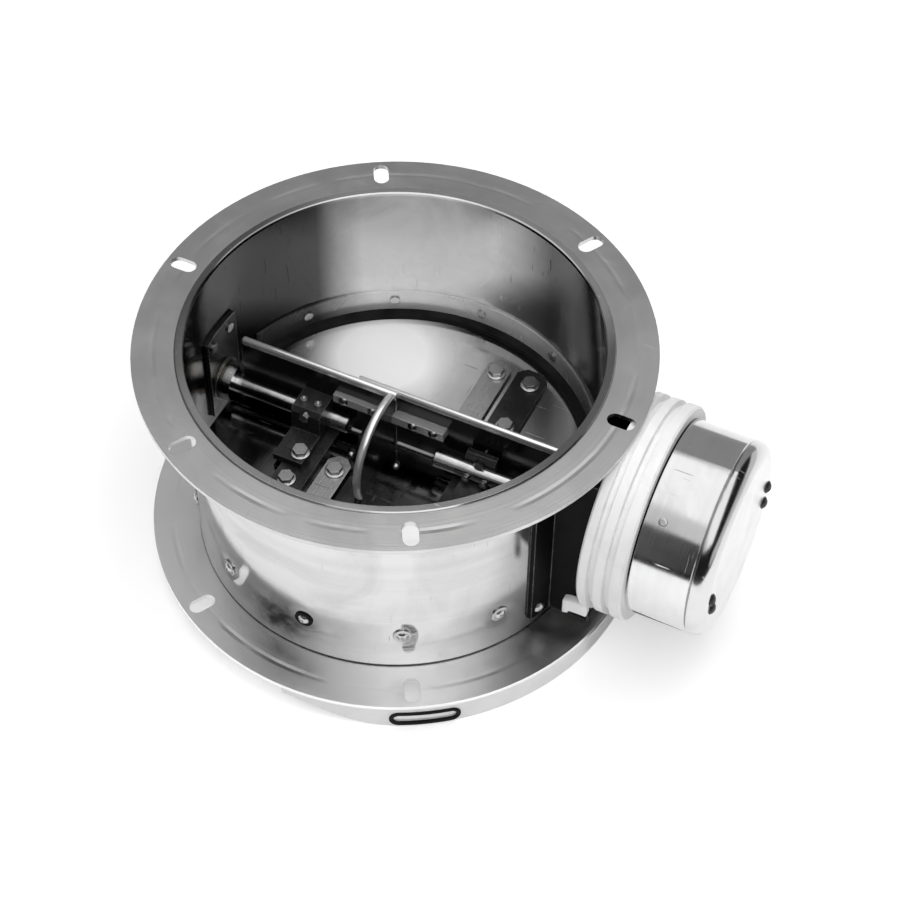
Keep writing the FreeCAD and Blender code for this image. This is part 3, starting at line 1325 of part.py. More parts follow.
def build():
    duct_tube()
    flange("top_flange", "body_height - flange_thick", "lip_seat")
    flange("bottom_flange", "0")
    support_apron()
    bearing_bracket("left_bearing_bracket", -1)
    bearing_bracket("right_bearing_bracket", 1)
    bush("left_bush", -1, "bracket_boss + bracket_thick + tube_wall + housing_depth - 0.5")
    bush("right_bush", 1, "bracket_boss + bracket_thick + tube_wall + 3")
    bearing_housing()
    bearing_cap()
    seats()
    rivet_groups()
    blade_disc()
    strap("left_strap", "-strap_place", "strap_width", "(-strap_long)", "left_strap_back")
    strap("right_strap", "strap_place", "strap_width", "(-right_strap_front)", "strap_long")
    strap("left_stiffener", "-stiffener_place", "stiffener_width", "(-stiffener_end)", "(-stiffener_start)")
    strap("right_stiffener", "stiffener_place", "stiffener_width", "stiffener_start", "stiffener_end")
    blade_rivets()
    strap_bolts()
    shaft_clamp("left_shaft_clamp", -1)
    shaft_clamp("right_shaft_clamp", 1)
    tie_bolts()
    set_screws()
    webs()
    splice_bar()
    splice_screws()
    brace_quadrant()
    half_shaft("left_half_shaft", "-left_shaft_outer", "left_shaft_outer - left_shaft_inner")
    shaft_end = plate_place() + SIZE["plate_thick"] + 1 + 2 * SIZE["cam_width"] + SIZE["cam_gap"] + 1
    half_shaft("right_half_shaft", "right_shaft_inner", "%.6f - right_shaft_inner" % shaft_end)
    shaft_collar("left_collar", -1)
    shaft_collar("right_collar", 1)
    actuator_console()
    base_screws()
    gearbox_base()
    base_bush()
    cable_inlet()
    motor_cover()
    end_lid()
    lid_screws()
    gear_train()
    gear_plate()
    motor_body()
    limit_parts()
    wiring_parts()
    doc.recompute()


def check():
    for thing in doc.Objects:
        if "Invalid" in thing.State or "Error" in thing.State:
            raise ValueError("%s failed: %s" % (thing.Name, thing.State))
    for node in NODES:
        if node.Shape.isNull() or not node.Shape.isValid():
            raise ValueError(node.Label + " has no valid shape")


build()
check()
os.makedirs("parts", exist_ok=True)
for node in NODES:
    node.Shape.exportStep("parts/%s.step" % node.Label)
    print("%-24s solids %2d  volume %10.1f" % (node.Label, len(node.Shape.Solids), node.Shape.Volume))
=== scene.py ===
import math

import bmesh
import bpy
from mathutils import Matrix, Vector


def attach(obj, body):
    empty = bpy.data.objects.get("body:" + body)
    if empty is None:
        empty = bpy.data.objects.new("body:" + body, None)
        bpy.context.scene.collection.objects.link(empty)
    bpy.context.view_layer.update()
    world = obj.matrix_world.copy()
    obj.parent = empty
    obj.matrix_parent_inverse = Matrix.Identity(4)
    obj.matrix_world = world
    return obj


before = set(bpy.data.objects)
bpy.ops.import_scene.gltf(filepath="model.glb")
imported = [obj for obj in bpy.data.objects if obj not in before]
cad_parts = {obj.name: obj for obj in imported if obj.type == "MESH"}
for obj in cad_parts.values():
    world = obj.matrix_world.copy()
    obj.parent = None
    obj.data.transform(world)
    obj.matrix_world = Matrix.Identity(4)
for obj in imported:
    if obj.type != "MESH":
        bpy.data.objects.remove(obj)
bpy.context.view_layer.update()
scene = bpy.context.scene

# Places that several pieces share, in metres

SHAFT_HEIGHT = 0.062
ACTUATOR_HEIGHT = 0.088
DUCT_RADIUS = 0.125
TUBE_OUTSIDE = 0.1265
FLANGE_RADIUS = 0.156
BODY_HEIGHT = 0.155
COVER_RADIUS = 0.060
WEB_TOP = 0.0965
OUTWARD = Matrix.Rotation(math.pi / 2, 4, "Y")


# Node helpers

def add(tree, kind, settings=None, **inputs):
    # A node with its settings and its inputs, each input a value or a socket to join.
    node = tree.nodes.new(kind)
    for name, value in (settings or {}).items():
        setattr(node, name, value)
    for name, value in inputs.items():
        numbered = name[0] == "n" and name[1:].isdigit()
        socket = node.inputs[int(name[1:]) if numbered else name.replace("_", " ")]
        if isinstance(value, bpy.types.NodeSocket):
            tree.links.new(value, socket)
        else:
            socket.default_value = value
    return node


def sums(tree, operation, *values, clamp=False):
    inputs = {"n%d" % place: value for place, value in enumerate(values)}
    return add(tree, "ShaderNodeMath", {"operation": operation, "use_clamp": clamp}, **inputs).outputs[0]


def times(tree, first, *others, clamp=False):
    for other in others:
        first = sums(tree, "MULTIPLY", first, other, clamp=clamp)
    return first


def plus(tree, first, *others, clamp=False):
    for other in others:
        first = sums(tree, "ADD", first, other, clamp=clamp)
    return first


def between(tree, value, low, high, start=0.0, end=1.0):
    # The value's share of the way from low to high, as start to end.
    inputs = {"Value": value, "From_Min": low, "From_Max": high, "To_Min": start, "To_Max": end}
    return add(tree, "ShaderNodeMapRange", {"clamp": True}, **inputs).outputs[0]


def spots(tree, vector, scale, detail=3.0, rough=0.55, swirl=0.0):
    inputs = {"Vector": vector, "Scale": scale, "Detail": detail, "Roughness": rough, "Distortion": swirl}
    return add(tree, "ShaderNodeTexNoise", None, **inputs).outputs[0]


def stripes(tree, place, detail, rough=0.5):
    # Noise that changes along one line only.
    inputs = {"W": place, "Scale": 1.0, "Detail": detail, "Roughness": rough}
    return add(tree, "ShaderNodeTexNoise", {"noise_dimensions": "1D"}, **inputs).outputs[0]


def stretched(tree, vector, scale, turn=(0.0, 0.0, 0.0)):
    return add(tree, "ShaderNodeMapping", None, Vector=vector, Scale=scale, Rotation=turn).outputs[0]


def upward(tree):
    # One where the surface faces up, minus one where it faces down.
    normal = tree.nodes.new("ShaderNodeNewGeometry").outputs["Normal"]
    return add(tree, "ShaderNodeSeparateXYZ", None, Vector=normal).outputs["Z"]


def effect(name, inputs, outputs):
    # A shader node group with named inputs and outputs.
    tree = bpy.data.node_groups.new(name, "ShaderNodeTree")
    for label, kind, value in inputs:
        socket = tree.interface.new_socket(label, in_out="INPUT", socket_type=kind)
        if value is not None:
            socket.default_value = value
    for label, kind in outputs:
        tree.interface.new_socket(label, in_out="OUTPUT", socket_type=kind)
    return tree, tree.nodes.new("NodeGroupInput").outputs, tree.nodes.new("NodeGroupOutput").inputs


NUMBER = "NodeSocketFloat"
ARROW = "NodeSocketVector"


def make_grain():
    # Fine drawn lines along a sheet or round a turned piece, broken up over its length.
    inputs = [("Vector", ARROW, None), ("Across", NUMBER, 0.0), ("Fineness", NUMBER, 900.0), ("Break", NUMBER, 0.5)]
    tree, given, out = effect("drawn grain", inputs, [("Lines", NUMBER), ("Broad", NUMBER)])
    waver = times(tree, spots(tree, given["Vector"], 14.0, 2.0), 1.4)
    place = plus(tree, times(tree, given["Across"], given["Fineness"]), waver)
    fine = stripes(tree, place, 3.0, 0.7)
    wide = stripes(tree, times(tree, place, 0.11), 2.0)
    broken = between(tree, spots(tree, given["Vector"], 38.0, 3.0), 0.35, 0.7)
    keep = sums(tree, "SUBTRACT", 1.0, times(tree, broken, given["Break"]))
    lines = plus(tree, times(tree, sums(tree, "SUBTRACT", fine, 0.5), keep), 0.5)
    tree.links.new(lines, out["Lines"])
    tree.links.new(wide, out["Broad"])
    return tree


def make_handling():
    # Cloudy finger smears and a few fine scratches from being handled in the shop.
    inputs = [("Vector", ARROW, None), ("Size", NUMBER, 18.0)]
    tree, given, out = effect("handling marks", inputs, [("Smears", NUMBER), ("Scratches", NUMBER)])
    cloud = spots(tree, given["Vector"], given["Size"], 5.0, 0.6, 1.2)
    tree.links.new(between(tree, cloud, 0.42, 0.72), out["Smears"])
    one = spots(tree, stretched(tree, given["Vector"], (24.0, 900.0, 40.0), (0.3, 0.5, 0.6)), 1.0, 2.0)
    two = spots(tree, stretched(tree, given["Vector"], (700.0, 30.0, 36.0), (0.7, 0.2, -0.4)), 1.0, 2.0)
    deepest = sums(tree, "MAXIMUM", between(tree, one, 0.71, 0.76), between(tree, two, 0.72, 0.77))
    tree.links.new(deepest, out["Scratches"])
    return tree


def make_edge_wear_and_highlight():
    # Where an edge is rubbed bright, which on the dark finishes is also a painted edge highlight, uneven along its
    # length.
    inputs = [("Vector", ARROW, None), ("Width", NUMBER, 0.0006)]
    tree, given, out = effect("edge wear and painted highlight", inputs, [("Edge", NUMBER)])
    rounded = add(tree, "ShaderNodeBevel", {"samples": 4}, Radius=given["Width"]).outputs[0]
    flat = tree.nodes.new("ShaderNodeNewGeometry").outputs["Normal"]
    same = add(tree, "ShaderNodeVectorMath", {"operation": "DOT_PRODUCT"}, n0=rounded, n1=flat).outputs["Value"]
    edge = between(tree, same, 0.995, 0.86)
    rough = between(tree, spots(tree, given["Vector"], 150.0, 4.0, 0.65), 0.3, 0.6, 0.25, 1.0)
    tree.links.new(times(tree, edge, rough), out["Edge"])
    return tree


def make_dust():
    # A thin film of shop dust on what faces up.
    inputs = [("Vector", ARROW, None), ("Amount", NUMBER, 0.3)]
    tree, given, out = effect("settled dust", inputs, [("Dust", NUMBER)])
    up = between(tree, upward(tree), 0.25, 0.95)
    patch = between(tree, spots(tree, given["Vector"], 26.0, 6.0, 0.7, 0.4), 0.4, 0.75)
    tree.links.new(times(tree, up, patch, given["Amount"]), out["Dust"])
    return tree


GRAIN = make_grain()
HANDLING = make_handling()
EDGES = make_edge_wear_and_highlight()
DUST = make_dust()
DUST_COLOUR = (0.5, 0.49, 0.47)


def use(tree, effect_tree, **inputs):
    node = tree.nodes.new("ShaderNodeGroup")
    node.node_tree = effect_tree
    for name, value in inputs.items():
        socket = node.inputs[name]
        if isinstance(value, bpy.types.NodeSocket):
            tree.links.new(value, socket)
        else:
            socket.default_value = value
    return node.outputs


def blend_colours(tree, share, one, two):
    node = tree.nodes.new("ShaderNodeMix")
    node.data_type = "RGBA"
    factor, first, second = node.inputs[0], node.inputs[6], node.inputs[7]
    for socket, value in ((factor, share), (first, one), (second, two)):
        if isinstance(value, bpy.types.NodeSocket):
            tree.links.new(value, socket)
        else:
            socket.default_value = (*value, 1.0) if hasattr(value, "__len__") else value
    return node.outputs[2]


def grey(value, warm=0.0):
    return (value * (1 + warm), value, value * (1 - warm))


# The pale colour that painted highlight patches are laid in.
PAINTED_HIGHLIGHT_COLOUR = grey(0.92)


class Finish:
    # One material: its node tree, the place on the piece, the running height and how far its edges are rounded.

    def __init__(self, name, edge):
        self.material = bpy.data.materials.new(name)
        self.material.use_nodes = True
        self.tree = self.material.node_tree
        self.shader = self.tree.nodes["Principled BSDF"]
        self.place = self.tree.nodes.new("ShaderNodeTexCoord").outputs["Object"]
        self.height = None
        self.edge = edge

    def parts(self):
        return add(self.tree, "ShaderNodeSeparateXYZ", None, Vector=self.place).outputs

    def distance(self, one, two):
        tree = self.tree
        return sums(tree, "SQRT", plus(tree, times(tree, one, one), times(tree, two, two)))

    def from_axis(self, height):
        # The distance from a line along X at that height.
        place = self.parts()
        return self.distance(sums(self.tree, "SUBTRACT", place["Z"], height), place["Y"])

    def from_middle(self):
        # The distance from the duct's own axis.
        place = self.parts()
        return self.distance(place["X"], place["Y"])

    def near(self, point, reach):
        # One at the point, falling to nothing at that reach.
        measure = add(self.tree, "ShaderNodeVectorMath", {"operation": "DISTANCE"}, n0=self.place, n1=point)
        inputs = {"Value": measure.outputs["Value"], "From_Min": 0.0, "From_Max": reach, "To_Min": 1.0, "To_Max": 0.0}
        return add(self.tree, "ShaderNodeMapRange", {"interpolation_type": "SMOOTHSTEP"}, **inputs).outputs[0]

    def raise_by(self, value, amount):
        part = times(self.tree, value, amount)
        self.height = part if self.height is None else plus(self.tree, self.height, part)

    def lay(self, share, colour):
        # Lays a colour over the finish's own, by that share.
        own = self.shader.inputs["Base Color"].links[0].from_socket
        self.set(Base_Color=blend_colours(self.tree, share, own, colour))

    def paint_highlight(self, share, metallic):
        # A painted highlight patch: paler and less metallic.
        self.lay(share, PAINTED_HIGHLIGHT_COLOUR)
        self.set(Metallic=between(self.tree, share, 0.0, 1.0, 1.0, metallic))

    def set(self, **values):
        for name, value in values.items():
            socket = self.shader.inputs[name.replace("_", " ")]
            if isinstance(value, bpy.types.NodeSocket):
                self.tree.links.new(value, socket)
            else:
                socket.default_value = value

    def close(self):
        # Rounds the sharp edges a little and joins the height.
        rounded = add(self.tree, "ShaderNodeBevel", {"samples": 4}, Radius=self.edge).outputs[0]
        if self.height is None:
            self.tree.links.new(rounded, self.shader.inputs["Normal"])
        else:
            inputs = {"Height": self.height, "Normal": rounded, "Strength": 1.0, "Distance": 0.001}
            bump = add(self.tree, "ShaderNodeBump", None, **inputs)
            self.tree.links.new(bump.outputs[0], self.shader.inputs["Normal"])
        return self.material


def sheet_metal(name, bright, dull, shine, across, fineness=900.0, lines=0.25, smears=0.35, size=18.0,
                dust=0.0, warm=0.0, wave=0.0, scratch=1.0):
    # Rolled or turned metal: a bright and a dull tone, grain lines, smears and scratches.
    finish = Finish(name, 0.0004)
    tree = finish.tree
    if across == "round":
        coordinate = finish.from_middle()
    elif isinstance(across, float):
        coordinate = finish.from_axis(across)
    else:
        coordinate = finish.parts()[across]
    grain = use(tree, GRAIN, Vector=finish.place, Across=coordinate, Fineness=fineness)
    marks = use(tree, HANDLING, Vector=finish.place, Size=size)
    tone = plus(tree, times(tree, grain["Broad"], 0.55), times(tree, marks["Smears"], 0.45), clamp=True)
    colour = blend_colours(tree, between(tree, tone, 0.25, 0.8), grey(bright, warm), grey(dull, warm))
    if dust:
        film = use(tree, DUST, Vector=finish.place, Amount=dust)["Dust"]
        colour = blend_colours(tree, film, colour, DUST_COLOUR)
        finish.set(Metallic=sums(tree, "SUBTRACT", 1.0, film))
    else:
        finish.set(Metallic=1.0)
    low, high = shine
    rough = plus(tree, low, times(tree, marks["Smears"], (high - low) * smears * 1.6))
    rough = plus(tree, rough, times(tree, grain["Lines"], (high - low) * 0.6))
    rough = plus(tree, rough, times(tree, marks["Scratches"], 0.12 * scratch), clamp=True)
    finish.set(Base_Color=colour, Roughness=rough)
    finish.raise_by(grain["Lines"], lines)
    finish.raise_by(marks["Scratches"], -0.12 * scratch)
    if wave:
        finish.raise_by(spots(tree, finish.place, 16.0, 1.0), wave)
    return finish


def painted(name, colour, worn, rough=(0.35, 0.5), peel=0.12, edge=0.0004, edge_wear_and_highlight_share=0.5, dust=0.12, metallic=0.0,
            size=22.0, gloss=0.5):
    # Paint or coating with orange peel, duller patches, and edges in the worn colour: rubbed wear, and on the dark
    # finishes a painted edge highlight.
    finish = Finish(name, edge)
    tree = finish.tree
    marks = use(tree, HANDLING, Vector=finish.place, Size=size)
    edge_wear_and_highlight_mask = use(tree, EDGES, Vector=finish.place, Width=edge * 1.6)["Edge"]
    film = use(tree, DUST, Vector=finish.place, Amount=dust)["Dust"]
    duller = [part * 0.86 for part in colour]
    shade = blend_colours(tree, times(tree, marks["Smears"], 0.6), colour, duller)
    # The worn colour on the edges: wear, and a painted edge highlight where it is pale on a dark finish.
    shade = blend_colours(tree, times(tree, edge_wear_and_highlight_mask, edge_wear_and_highlight_share), shade, worn)
    shade = blend_colours(tree, film, shade, DUST_COLOUR)
    base = plus(tree, rough[0], times(tree, marks["Smears"], rough[1] - rough[0]))
    base = plus(tree, base, times(tree, film, 0.4), clamp=True)
    finish.set(Base_Color=shade, Roughness=base, Metallic=metallic, Specular_IOR_Level=gloss)
    finish.raise_by(spots(tree, finish.place, 420.0, 2.0), peel)
    finish.raise_by(marks["Scratches"], -0.05)
    return finish


def moulded(name, colour, rough=0.5, speckle=0.25, gloss=0.5):
    # Moulded plastic or rubber with a fine matt texture.
    finish = Finish(name, 0.0003)
    tree = finish.tree
    cloud = spots(tree, finish.place, 60.0, 4.0)
    lighter = [min(1.0, part * 1.5 + 0.012) for part in colour]
    shade = blend_colours(tree, between(tree, cloud, 0.35, 0.75), colour, lighter)
    uneven = between(tree, cloud, 0.3, 0.7, rough - 0.07, rough + 0.1)
    finish.set(Base_Color=shade, Roughness=uneven, Metallic=0.0, Specular_IOR_Level=gloss)
    finish.raise_by(spots(tree, finish.place, 900.0, 3.0), speckle)
    return finish


# Finishes of this damper

def rivet_points():
    # Where the seat rivets come through the tube, five on each half.
    points = []
    for half, level in ((-1, 0.034), (1, 0.0615)):
        for number in range(5):
            angle = math.radians(34.5 + 27.5 * number)
            points.append((TUBE_OUTSIDE * math.cos(angle), half * TUBE_OUTSIDE * math.sin(angle), level))
    return points


def shade_ends(finish, left, right, tone):
    # Painted shade: darkens a finish towards its two ends, each given by where the shade starts and where it is full.
    tree = finish.tree
    uneven = times(tree, sums(tree, "SUBTRACT", spots(tree, finish.place, 14.0, 4.0), 0.5), 0.03)
    along = plus(tree, finish.parts()["X"], uneven)
    share = sums(tree, "MAXIMUM", between(tree, along, *left), between(tree, along, *right, 0.0, 0.85))
    finish.lay(share, grey(tone))


def tube_finish():
    # Polished sheet, drawn in at each rivet, with a painted highlight inside at the back, painted shade at the ends
    # and a painted shadow line at its foot.
    finish = sheet_metal("polished tube steel", 0.7, 0.56, (0.05, 0.16), "Z", 700.0, 0.03, 0.5, 16.0, wave=0.5)
    for point in rivet_points():
        finish.raise_by(finish.near(point, 0.013), -0.9)
    tree = finish.tree
    place = finish.parts()
    inside = between(tree, finish.from_middle(), DUCT_RADIUS + 0.0007, DUCT_RADIUS + 0.0005)
    cloudy = between(tree, spots(tree, finish.place, 20.0, 4.0, 0.6, 0.5), 0.3, 0.6, 0.75, 1.0)
    # A painted highlight patch inside at the back, mottled.
    painted_highlight = times(tree, finish.near((-0.058, 0.110, 0.130), 0.100), 1.8, clamp=True)
    finish.paint_highlight(times(tree, painted_highlight, cloudy, inside), 0.1)
    # Painted shade towards both ends.
    shade_ends(finish, (-0.086, -0.122), (0.1, 0.122), 0.24)
    # Painted shade inside the tube at both ends.
    shaded_left_end = between(tree, place["X"], -0.074, -0.096, 0.0, 0.95)
    shaded_right_end = between(tree, place["X"], 0.008, 0.052, 0.0, 0.88)
    finish.lay(times(tree, sums(tree, "MAXIMUM", shaded_left_end, shaded_right_end), inside), grey(0.06))
    blotchy = between(tree, spots(tree, finish.place, 60.0, 4.0), 0.3, 0.6, 0.35, 1.25)
    stain = times(tree, finish.near((-0.0180, -0.1252, 0.024), 0.036), blotchy, clamp=True)
    # A painted shadow line round the foot, where the tube meets the lower flange.
    foot_shadow = between(tree, place["Z"], 0.0046, 0.0040)
    finish.lay(sums(tree, "MAXIMUM", stain, foot_shadow), grey(0.04))
    return finish


def band_finish():
    # Coated seat band, with painted shade towards its ends as on the wall.
    finish = painted("bright coated seat band", grey(0.8), grey(0.6), (0.22, 0.34), 0.04,
                     metallic=0.45, edge_wear_and_highlight_share=0.2, dust=0.02)
    shade_ends(finish, (-0.066, -0.096), (0.040, 0.090), 0.07)
    return finish


def flange_finish():
    # Satin pressed ring with a shallow crease round its middle, the lower one painted paler as a painted highlight.
    finish = sheet_metal("satin flange steel", 0.64, 0.54, (0.27, 0.38), "round", 520.0, 0.045, 0.6, 12.0,
                         dust=0.15, scratch=0.35)
    tree = finish.tree
    crease_radius, crease_width = 0.1432, 0.0022
    gap = sums(tree, "ABSOLUTE", sums(tree, "SUBTRACT", finish.from_middle(), crease_radius))
    crease = between(tree, gap, 0.0, crease_width, 1.0, 0.0)
    worn = between(tree, spots(tree, finish.place, 24.0, 2.0), 0.42, 0.6)
    finish.raise_by(times(tree, crease, worn), -0.22)
    # The lower flange painted paler: a painted highlight.
    finish.lay(between(tree, finish.parts()["Z"], 0.02, 0.01), grey(0.95))
    return finish


def blade_finish():
    # Polished plate with a painted highlight at the back and painted shade on the near half.
    finish = sheet_metal("polished blade steel", 0.78, 0.66, (0.06, 0.16), "X", 650.0, 0.03, 0.5, 14.0, wave=0.35)
    tree = finish.tree
    across = finish.parts()["Y"]
    # A painted highlight patch on the far half at the back.
    painted_highlight = times(tree, finish.near((-0.046, 0.072, 0.053), 0.066), 1.7, clamp=True)
    finish.paint_highlight(times(tree, painted_highlight, between(tree, across, 0.014, 0.018)), 0.12)
    # Painted shade over the near half, mottled and lighter towards the rim.
    ragged = times(tree, spots(tree, finish.place, 90.0, 4.0), 0.006)
    shaded_near_half = between(tree, plus(tree, across, ragged), 0.012, 0.004)
    cloudy = between(tree, spots(tree, finish.place, 22.0, 5.0, 0.6, 0.8), 0.3, 0.7, 1.0, 0.72)
    thinner_at_rim = between(tree, across, -0.098, -0.074, 0.62, 1.0)
    finish.lay(times(tree, shaded_near_half, cloudy, thinner_at_rim), grey(0.03))
    return finish


def cover_finish():
    # Polished can with a painted shadow line where its upper half meets the base.
    finish = sheet_metal("polished cover", 0.72, 0.64, (0.07, 0.18), "X", 900.0, 0.02, 0.5, 22.0, wave=0.1)
    tree = finish.tree
    place = finish.parts()
    # A painted shadow line along the joint, on the upper half only.
    joint_shadow = between(tree, place["X"], 0.1778, 0.1774)
    upper_half = between(tree, place["Z"], 0.080, 0.100)
    finish.lay(times(tree, joint_shadow, upper_half), grey(0.01))
    return finish


def stiffener_finish():
    # Satin bar with painted shade on its side faces.
    finish = sheet_metal("satin stiffener steel", 0.6, 0.46, (0.2, 0.34), "X", 900.0, 0.14)
    tree = finish.tree
    # Painted shade on the faces that look sideways.
    shaded_sides = between(tree, sums(tree, "ABSOLUTE", upward(tree)), 0.75, 0.55)
    finish.lay(shaded_sides, grey(0.02))
    return finish


def make_finishes():
    done = {}

    def put(slot, finish):
        done[slot] = finish.close()

    put("tube_steel", tube_finish())
    put("flange_steel", flange_finish())
    put("apron_steel", painted("white apron paint", grey(0.87), grey(0.55), (0.3, 0.4), 0.06,
                               edge_wear_and_highlight_share=0.25, dust=0.06))
    # The pale edges of the dark finishes below are painted edge highlights as well as wear.
    put("bracket_steel", painted("blackened bracket steel", grey(0.05), grey(0.6), (0.2, 0.34), 0.05, 0.0007,
                                 metallic=0.9, edge_wear_and_highlight_share=0.9, dust=0.02))
    put("bush_bronze", painted("turned bush bronze", (0.4, 0.36, 0.3), (0.56, 0.51, 0.44), (0.25, 0.35), 0.05,
                               metallic=1.0, dust=0.05))
    put("bearing_metal", sheet_metal("cast bearing metal", 0.6, 0.5, (0.3, 0.44), SHAFT_HEIGHT, 1300.0,
                                     0.12, 0.5, 30.0))
    put("band_steel", band_finish())
    put("seal_rubber", moulded("seat seal rubber", (0.005, 0.005, 0.005), 0.66, 0.15, gloss=0.1))
    put("rivet_steel", sheet_metal("plain rivet steel", 0.6, 0.45, (0.2, 0.34), "Z", 1500.0, 0.05, size=60.0))
    put("blade_steel", blade_finish())
    put("strap_steel", painted("blackened strap steel", (0.022, 0.022, 0.024), (0.28, 0.28, 0.29), (0.24, 0.38), 0.06,
                               metallic=0.6, edge_wear_and_highlight_share=0.7))
    put("stiffener_steel", stiffener_finish())
    put("bolt_steel", sheet_metal("zinc plated bolt steel", 0.68, 0.52, (0.16, 0.3), "Z", 1500.0, 0.06, size=70.0))
    put("clamp_steel", painted("blackened clamp steel", (0.03, 0.03, 0.032), (0.3, 0.3, 0.31), (0.24, 0.38), 0.08,
                               metallic=0.6, edge_wear_and_highlight_share=0.7))
    # The web's pale edges are painted edge highlights as well as wear.
    put("web_steel", painted("blackened web steel", grey(0.045), grey(0.75), (0.16, 0.3), 0.04, 0.0006,
                             metallic=0.9, edge_wear_and_highlight_share=0.9, dust=0.02))
    put("splice_steel", painted("bright zinc on the splice", grey(0.92), grey(0.96), (0.16, 0.28), 0.03,
                                metallic=0.78, edge_wear_and_highlight_share=0.3, dust=0.0))
    put("shaft_steel", sheet_metal("ground shaft steel", 0.76, 0.64, (0.1, 0.2), "X", 2200.0, 0.1, size=40.0))
    put("console_black", painted("black console paint", grey(0.004), grey(0.3), (0.42, 0.55), 0.05, 0.0007,
                                 edge_wear_and_highlight_share=0.8, dust=0.02, gloss=0.06))
    put("base_white", painted("white cast base", grey(0.86), grey(0.62), (0.38, 0.5), 0.2,
                              edge_wear_and_highlight_share=0.2, dust=0.05, size=30.0))
    put("inlet_black", moulded("cable inlet rubber", (0.02, 0.02, 0.02), 0.5))
    put("cover_metal", cover_finish())
    put("lid_metal", sheet_metal("polished lid", 0.66, 0.6, (0.12, 0.22), ACTUATOR_HEIGHT, 900.0, 0.04, 0.5, 26.0))
    put("lid_screw_black", moulded("black lid fittings", (0.01, 0.01, 0.01), 0.35, 0.1))
    put("gear_steel", sheet_metal("cut gear steel", 0.55, 0.42, (0.2, 0.34), "X", 1500.0, 0.14))
    put("gear_brass", painted("cut gear brass", (0.7, 0.5, 0.2), (0.86, 0.7, 0.4), (0.22, 0.34), 0.05,
                              metallic=1.0, dust=0.05))
    put("plate_steel", sheet_metal("zinc plated plate", 0.62, 0.5, (0.25, 0.4), "Z", 500.0, 0.1, warm=0.02))
    put("motor_steel", sheet_metal("zinc plated motor can", 0.62, 0.5, (0.2, 0.34), "X", 900.0, 0.08))
    put("cam_plastic", moulded("cam plastic", (0.72, 0.71, 0.66), 0.4, 0.08))
    put("switch_plastic", moulded("switch plastic", (0.03, 0.03, 0.035), 0.45))
    put("block_plastic", moulded("terminal block plastic", (0.1, 0.11, 0.12), 0.45))
    put("terminal_brass", painted("terminal brass", (0.72, 0.54, 0.26), (0.86, 0.7, 0.4), (0.2, 0.3), 0.04,
                                  metallic=1.0, dust=0.04))
    put("capacitor_metal", sheet_metal("drawn capacitor can", 0.72, 0.6, (0.16, 0.28), "X", 900.0, 0.06))
    return done


FINISHES = make_finishes()


def dress_nodes():
    for name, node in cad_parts.items():
        for slot in node.material_slots:
            key = slot.material.name.split(".")[0] if slot.material else ""
            if key not in FINISHES:
                raise ValueError("no finish for slot %r of %s" % (key, name))
            slot.material = FINISHES[key]


dress_nodes()


# Small pieces that the solids leave to the scene

def begin():
    # Out of edit mode, with nothing selected.
    if bpy.context.mode != "OBJECT":
        bpy.ops.object.mode_set(mode="OBJECT")
    bpy.ops.object.select_all(action="DESELECT")


def open_piece(name):
    # Names the new primitive, puts its place in its mesh and opens it.
    piece = bpy.context.object
    piece.name = name
    piece.data.name = name
    bpy.ops.object.transform_apply(location=True, rotation=True, scale=True)
    bpy.ops.object.mode_set(mode="EDIT")
    return piece


def pick_faces(piece, wanted):
    bpy.ops.mesh.select_mode(type="FACE")
    bpy.ops.mesh.select_all(action="DESELECT")
    mesh = bmesh.from_edit_mesh(piece.data)
    for face in mesh.faces:
        face.select_set(wanted(face))
    bmesh.update_edit_mesh(piece.data)


def pick_edges(piece, wanted):
    bpy.ops.mesh.select_mode(type="EDGE")
    bpy.ops.mesh.select_all(action="DESELECT")
    mesh = bmesh.from_edit_mesh(piece.data)
    for edge in mesh.edges:
        edge.select_set(wanted(edge))
    bmesh.update_edit_mesh(piece.data)


def extrude_by(x, y, z):
    bpy.ops.mesh.extrude_region_move(TRANSFORM_OT_translate={"value": (x, y, z)})


def close_piece(piece, angle=35.0):
    # Doubles merged, faces outward, smooth but for its sharp edges.
    bpy.ops.mesh.select_all(action="SELECT")
    bpy.ops.mesh.remove_doubles(threshold=1e-6)
    bpy.ops.mesh.normals_make_consistent(inside=False)
    bpy.ops.object.mode_set(mode="OBJECT")
    bpy.ops.object.shade_smooth_by_angle(angle=math.radians(angle))
    return piece


def fit(piece, slot, body, moves=(Matrix(),)):
    # The piece at its first place and a copy at each other one, with their finish and body.
    copies = []
    for number, move in enumerate(moves[1:], 2):
        other = piece.copy()
        other.data = piece.data.copy()
        other.name = "%s_%d" % (piece.name, number)
        other.data.transform(move)
        scene.collection.objects.link(other)
        copies.append(other)
    piece.data.transform(moves[0])
    for one in [piece] + copies:
        one.data.materials.clear()
        one.data.materials.append(FINISHES[slot])
        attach(one, body)


